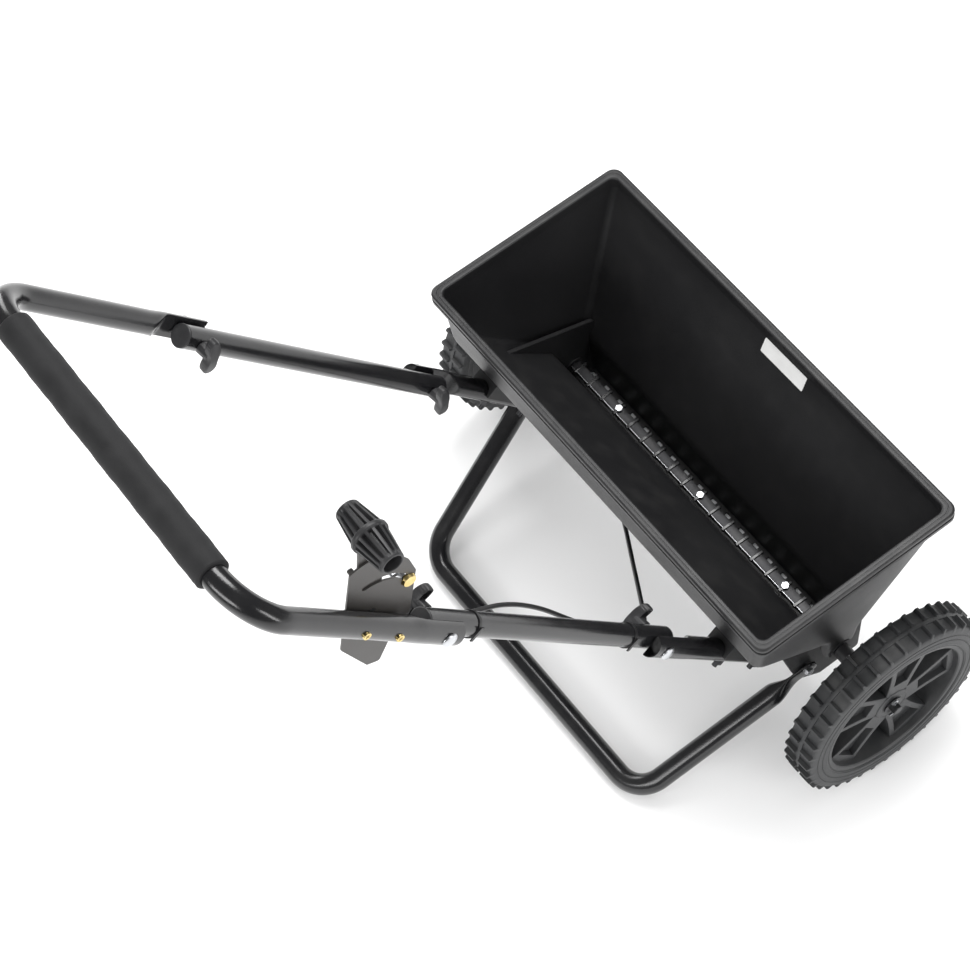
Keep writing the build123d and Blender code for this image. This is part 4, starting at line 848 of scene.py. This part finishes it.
# ---------------------------------------------------------------- lever grip
# Two cones of black nylon moulded base to base on the lever's pin, each with deep slots between
# its ribs, and open at both ends.
grip_low, grip_high = [np.array(corner) * 1000 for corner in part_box("lever_grip")]
grip_middle = (grip_low + grip_high) / 2
cone = [(0, 18.4), (1.4, 18.5), (2.2, 18.1), (2.8, 17.2), (3.6, 16.9), (6.0, 16.5), (9, 16.0),
        (14, 15.2), (20, 14.2), (25, 13.3), (28, 12.8), (30.4, 12.4), (32.2, 12.1), (33.6, 11.8),
        (34.2, 11.4), (34.5, 10.8), (34.5, 9.8), (33.9, 9.2), (24, 8.4), (24, 0)]
cone_profile = [(-a, r) for a, r in cone[:0:-1]] + cone


def slotted(angle, along, radius):
    """Radius cut by fourteen slots round each cone; a slot is deepest near the middle ring, fades
    out near the end, and has steep sides."""
    distance = np.abs(along)
    wave = 0.5 - 0.5 * np.tanh(7.0 * (np.cos(14 * angle) - 0.05))
    fade = np.clip((distance - 2.8) / 0.8, 0, 1) * np.clip((31.5 - distance) / 4.0, 0, 1)
    outside = radius > 11.0
    return radius - outside * wave * fade * (4.4 - 0.06 * distance)


skin("ribbed_lever_grip", [turned(cone_profile, grip_middle, (1, 0, 0), 224, slotted)], knob_plastic,
     "lever", ["lever_grip"], crease=40)

# ---------------------------------------------------------------- control cable
# A 5 mm black jacketed push-pull cable runs from a clamp below the lever, down the inner side of
# the right-hand tubes and under the hopper to the gate.
jacket = finish_of("cable_jacket", (0.007, 0.007, 0.008), (0.013, 0.013, 0.014),
                   0.28, 0.42, 30.0, 1600.0, 1.5, 0.00005)


def flowing_line(points, count=160):
    """Smooth line that leaves the first point, leans toward each next one and ends on the last:
    quadratic pieces that meet halfway along each run."""
    points = np.array(points, float)
    halfway = (points[:-1] + points[1:]) / 2
    starts = np.concatenate([points[:1], halfway[1:-1]])
    ends = np.concatenate([halfway[1:-1], points[-1:]])
    share = np.linspace(0, 1, 14, endpoint=False)[None, :, None]
    curve = ((1 - share) ** 2 * starts[:, None] + 2 * share * (1 - share) * points[1:-1, None]
             + share**2 * ends[:, None])
    curve = np.concatenate([curve.reshape(-1, 3), points[-1:]])
    length = np.concatenate([[0], np.cumsum(np.linalg.norm(np.diff(curve, axis=0), axis=1))])
    station = np.linspace(0, length[-1], count)
    return np.column_stack([np.interp(station, length, curve[:, k]) for k in range(3)])


def round_cord(points, radius, count=16):
    """Round section carried along a line in space, kept level against one steady direction."""
    ahead = unit(np.gradient(points, axis=0))
    first = unit(np.cross(ahead, (0.35, 0.25, 0.9)))
    second = np.cross(ahead, first)
    angle = np.linspace(0, 2 * pi, count, endpoint=False)[None, :, None]
    spread = np.cos(angle) * first[:, None] + np.sin(angle) * second[:, None]
    return closed(points[:, None] + radius * spread)


cable_radius, cable_x, cable_back = 2.5, 181.0, -16.0
clamp_x = 193.0
meeting = on_arm(55.0, 178.0, cable_back)
under_hopper = [(-46, -2, -38.3), (-72, -2, -38.3), (-98, -16, -41.3), (-102, -52, -32),
                (-82, -70, 0), (-44, -86, 40), (6, -110, 80), (56, -138, 114), (106, -165, 140),
                (152, -190, 160), (177, -209, 186)]      # from the middle of the axle
lower_route = [*(axle + under_hopper), on_arm(-6.0, cable_x, cable_back - 1),
               on_arm(20.0, cable_x, cable_back), meeting]
beside_arm = [(110, 167, 3), (165, 157, 8), (225, 156, 8), (285, 166, 3), (340, 178, 0),
              (385, cable_x, 0), (435, cable_x + 1, -1), (457, clamp_x, 0)]
upper_route = [meeting, *[on_arm(along, x, cable_back + rise) for along, x, rise in beside_arm]]
for name, route, low_body, high_body, nodes_replaced, bolt in (
        ("cable_to_gate", lower_route, "frame", "middle_handle", ["cable_lower"], 0.0),
        ("cable_to_lever", upper_route, "middle_handle", "upper_handle",
         ["cable_middle", "cable_upper"], middle_length)):
    piece = skin(name, [round_cord(flowing_line(route), cable_radius)], jacket, None,
                 nodes_replaced)
    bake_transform(piece)

# the inner wire leaves the clamp and hooks into the lever's tail
lever_lean, lever_tail = radians(10.0), 27.0
anchor = (joint_places["lever_turn"] * (0, 1, 1)
          + (clamp_x, -lever_tail * sin(lever_lean), -lever_tail * cos(lever_lean)))
clamp_top = on_arm(469.0, clamp_x, cable_back)
bow = np.array([0.0, -0.6, 0.3])
wire_line = flowing_line([clamp_top, clamp_top * 0.67 + anchor * 0.33 + bow,
                          clamp_top * 0.33 + anchor * 0.67 + bow, anchor], 24)
hook_profile = [(0, 0), (0, 2.6), (0.4, 3.0), (1.6, 3.0), (2.0, 2.6), (2.0, 1.3), (6.6, 1.3), (6.6, 0)]
hook = turned(hook_profile, anchor - (1.2, 0, 0), (1, 0, 0), 24)
wire = skin("lever_pull_wire", [round_cord(wire_line, 0.9), hook], zinc, None, ["lever_wire"])
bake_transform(wire)

# two nylon ties hold the cable to the middle tube, each drawn as the tight loop round both
tie_section = [(-2.2, 0.1), (-2.2, 0.9), (-1.8, 1.2), (1.8, 1.2), (2.2, 0.9), (2.2, 0.1), (-2.2, 0.1)]
loop_angle = np.linspace(0, 2 * pi, 64, endpoint=False)
around = np.stack([np.cos(loop_angle), np.sin(loop_angle)], -1)
radii = np.array([tube_radius, cable_radius])
for name, along, x, height in (("lower_cable_tie", 55.0, 178.0, cable_back),
                               ("upper_cable_tie", 342.0, 177.5, cable_back + 0.5)):
    support = np.max(np.array([[middle_x, 0.0], [x, height]]) @ around.T + radii[:, None], axis=0)
    slope = np.gradient(support, loop_angle)
    outline = support[:, None] * around + slope[:, None] * np.stack([-around[:, 1], around[:, 0]], -1)
    grown = [(rise, outline + around * out) for rise, out in tie_section]
    skin(name, [np.array([on_arm(along + rise, *loop.T) for rise, loop in grown])], jacket,
         "middle_handle")

# ---------------------------------------------------------------- agitator
# A steel strip bolted along the axle, with a black finger across it beside every pair of feed
# holes. The strip is dark, and a thin bright zinc bar along its rear edge is a painted
# highlight that also stands for the bare sheared steel there.
dark_steel = finish_of("dark_steel", (0.014, 0.014, 0.015), (0.036, 0.036, 0.038),
                       0.26, 0.44, 50.0, 900.0, 2.0, 0.00010, dusty=0.05, metal=0.75)


def soft_bar(x_low, x_high, centre, half_y, half_z, rounding):
    """Bar along X with rounded long edges and softened ends, given in the axle's frame."""
    corner = np.linspace(0, pi / 2, 4)
    angle = np.concatenate([corner + k * pi / 2 for k in range(4)])
    y_sign, z_sign = np.repeat([1, -1, -1, 1], 4), np.repeat([1, 1, -1, -1], 4)
    rings = []
    for x, inset in ((x_low, 0.6), (x_low + 0.6, 0.0), (x_high - 0.6, 0.0), (x_high, 0.6)):
        y = centre[0] + y_sign * (half_y - rounding) + (rounding - inset) * np.cos(angle)
        z = centre[1] + z_sign * (half_z - rounding) + (rounding - inset) * np.sin(angle)
        rings.append(np.column_stack([np.full(16, x), y + axle[1], z + axle[2]]))
    return closed(np.array(rings))


fingers = [soft_bar(x - 2.0, x + 2.0, (0.0, 8.3), 9.4, 2.1, 0.8) for x in hole_x]
strip_half = hole_x[-1] + 8.0
strips = [soft_bar(-strip_half, strip_half, (side * 5.2, 5.4), 0.8, 3.4, 0.4) for side in (-1, 1)]
strips.append(soft_bar(-strip_half, strip_half, (0.0, 7.8), 6.0, 1.2, 0.5))
skin("agitator_strip", strips, dark_steel, "drive_axle", ["agitator"])
skin("agitator_fingers", fingers, powder_black, "drive_axle")
# thin bright zinc bar on the strip's rear edge: a painted highlight, and the bare sheared edge
skin("agitator_bare_edge_and_painted_highlight", [soft_bar(-strip_half, strip_half, (-6.2, 8.7), 0.55, 0.55, 0.4)], zinc,
     "drive_axle")

# ---------------------------------------------------------------- sheet steel and fittings
# The rest is as machined or pressed: satin painted lever and plate, zinc and yellow-plated
# fasteners, nylon bushes, and a blank film label.
sheet_paint = finish_of("sheet_paint", (0.040, 0.037, 0.035), (0.062, 0.058, 0.055),
                        0.36, 0.50, 16.0, 1100.0, 2.0, 0.00010, dusty=0.05)
yellow_zinc = finish_of("yellow_zinc", (0.62, 0.46, 0.16), (0.80, 0.64, 0.30),
                        0.20, 0.34, 80.0, 1500.0, 1.0, 0.00004, metal=1.0)
film_white = finish_of("film_white", (0.74, 0.74, 0.73), (0.84, 0.84, 0.83),
                       0.34, 0.46, 40.0, 1200.0, 1.0, 0.00004)
black_oxide = finish_of("black_oxide", (0.022, 0.022, 0.024), (0.05, 0.05, 0.052),
                        0.28, 0.42, 60.0, 1300.0, 1.0, 0.00006, metal=0.6)
galvanised = finish_of("galvanised", (0.62, 0.63, 0.64), (0.78, 0.79, 0.80),
                       0.42, 0.6, 120.0, 600.0, 1.0, 0.00006, metal=0.45)
coats = {
    powder_black: ["cable_bracket", "gate_rails"],
    sheet_paint: ["control_plate", "control_lever"],
    zinc: ["cotter_pins", "stand_bolts", "agitator_bolts", "gate_wire", "lever_pivot", "lever_pivot_nut",
           "cable_ferrule", "cable_clamp", "rate_stop_wing_nut", "drive_pin"],
    yellow_zinc: ["plate_screws", "rate_stop_bolt"],
    knob_plastic: ["bush_left", "bush_right", "axle_spacers"],
    black_oxide: ["axle", "axle_washers", "seat_bolts"],
    galvanised: ["gate_plate"],
    film_white: ["blank_label"],
}
for coat_material, names in coats.items():
    for node in names:
        mesh = frame["nodes"][node].data
        mesh.materials.clear()
        mesh.materials.append(coat_material)
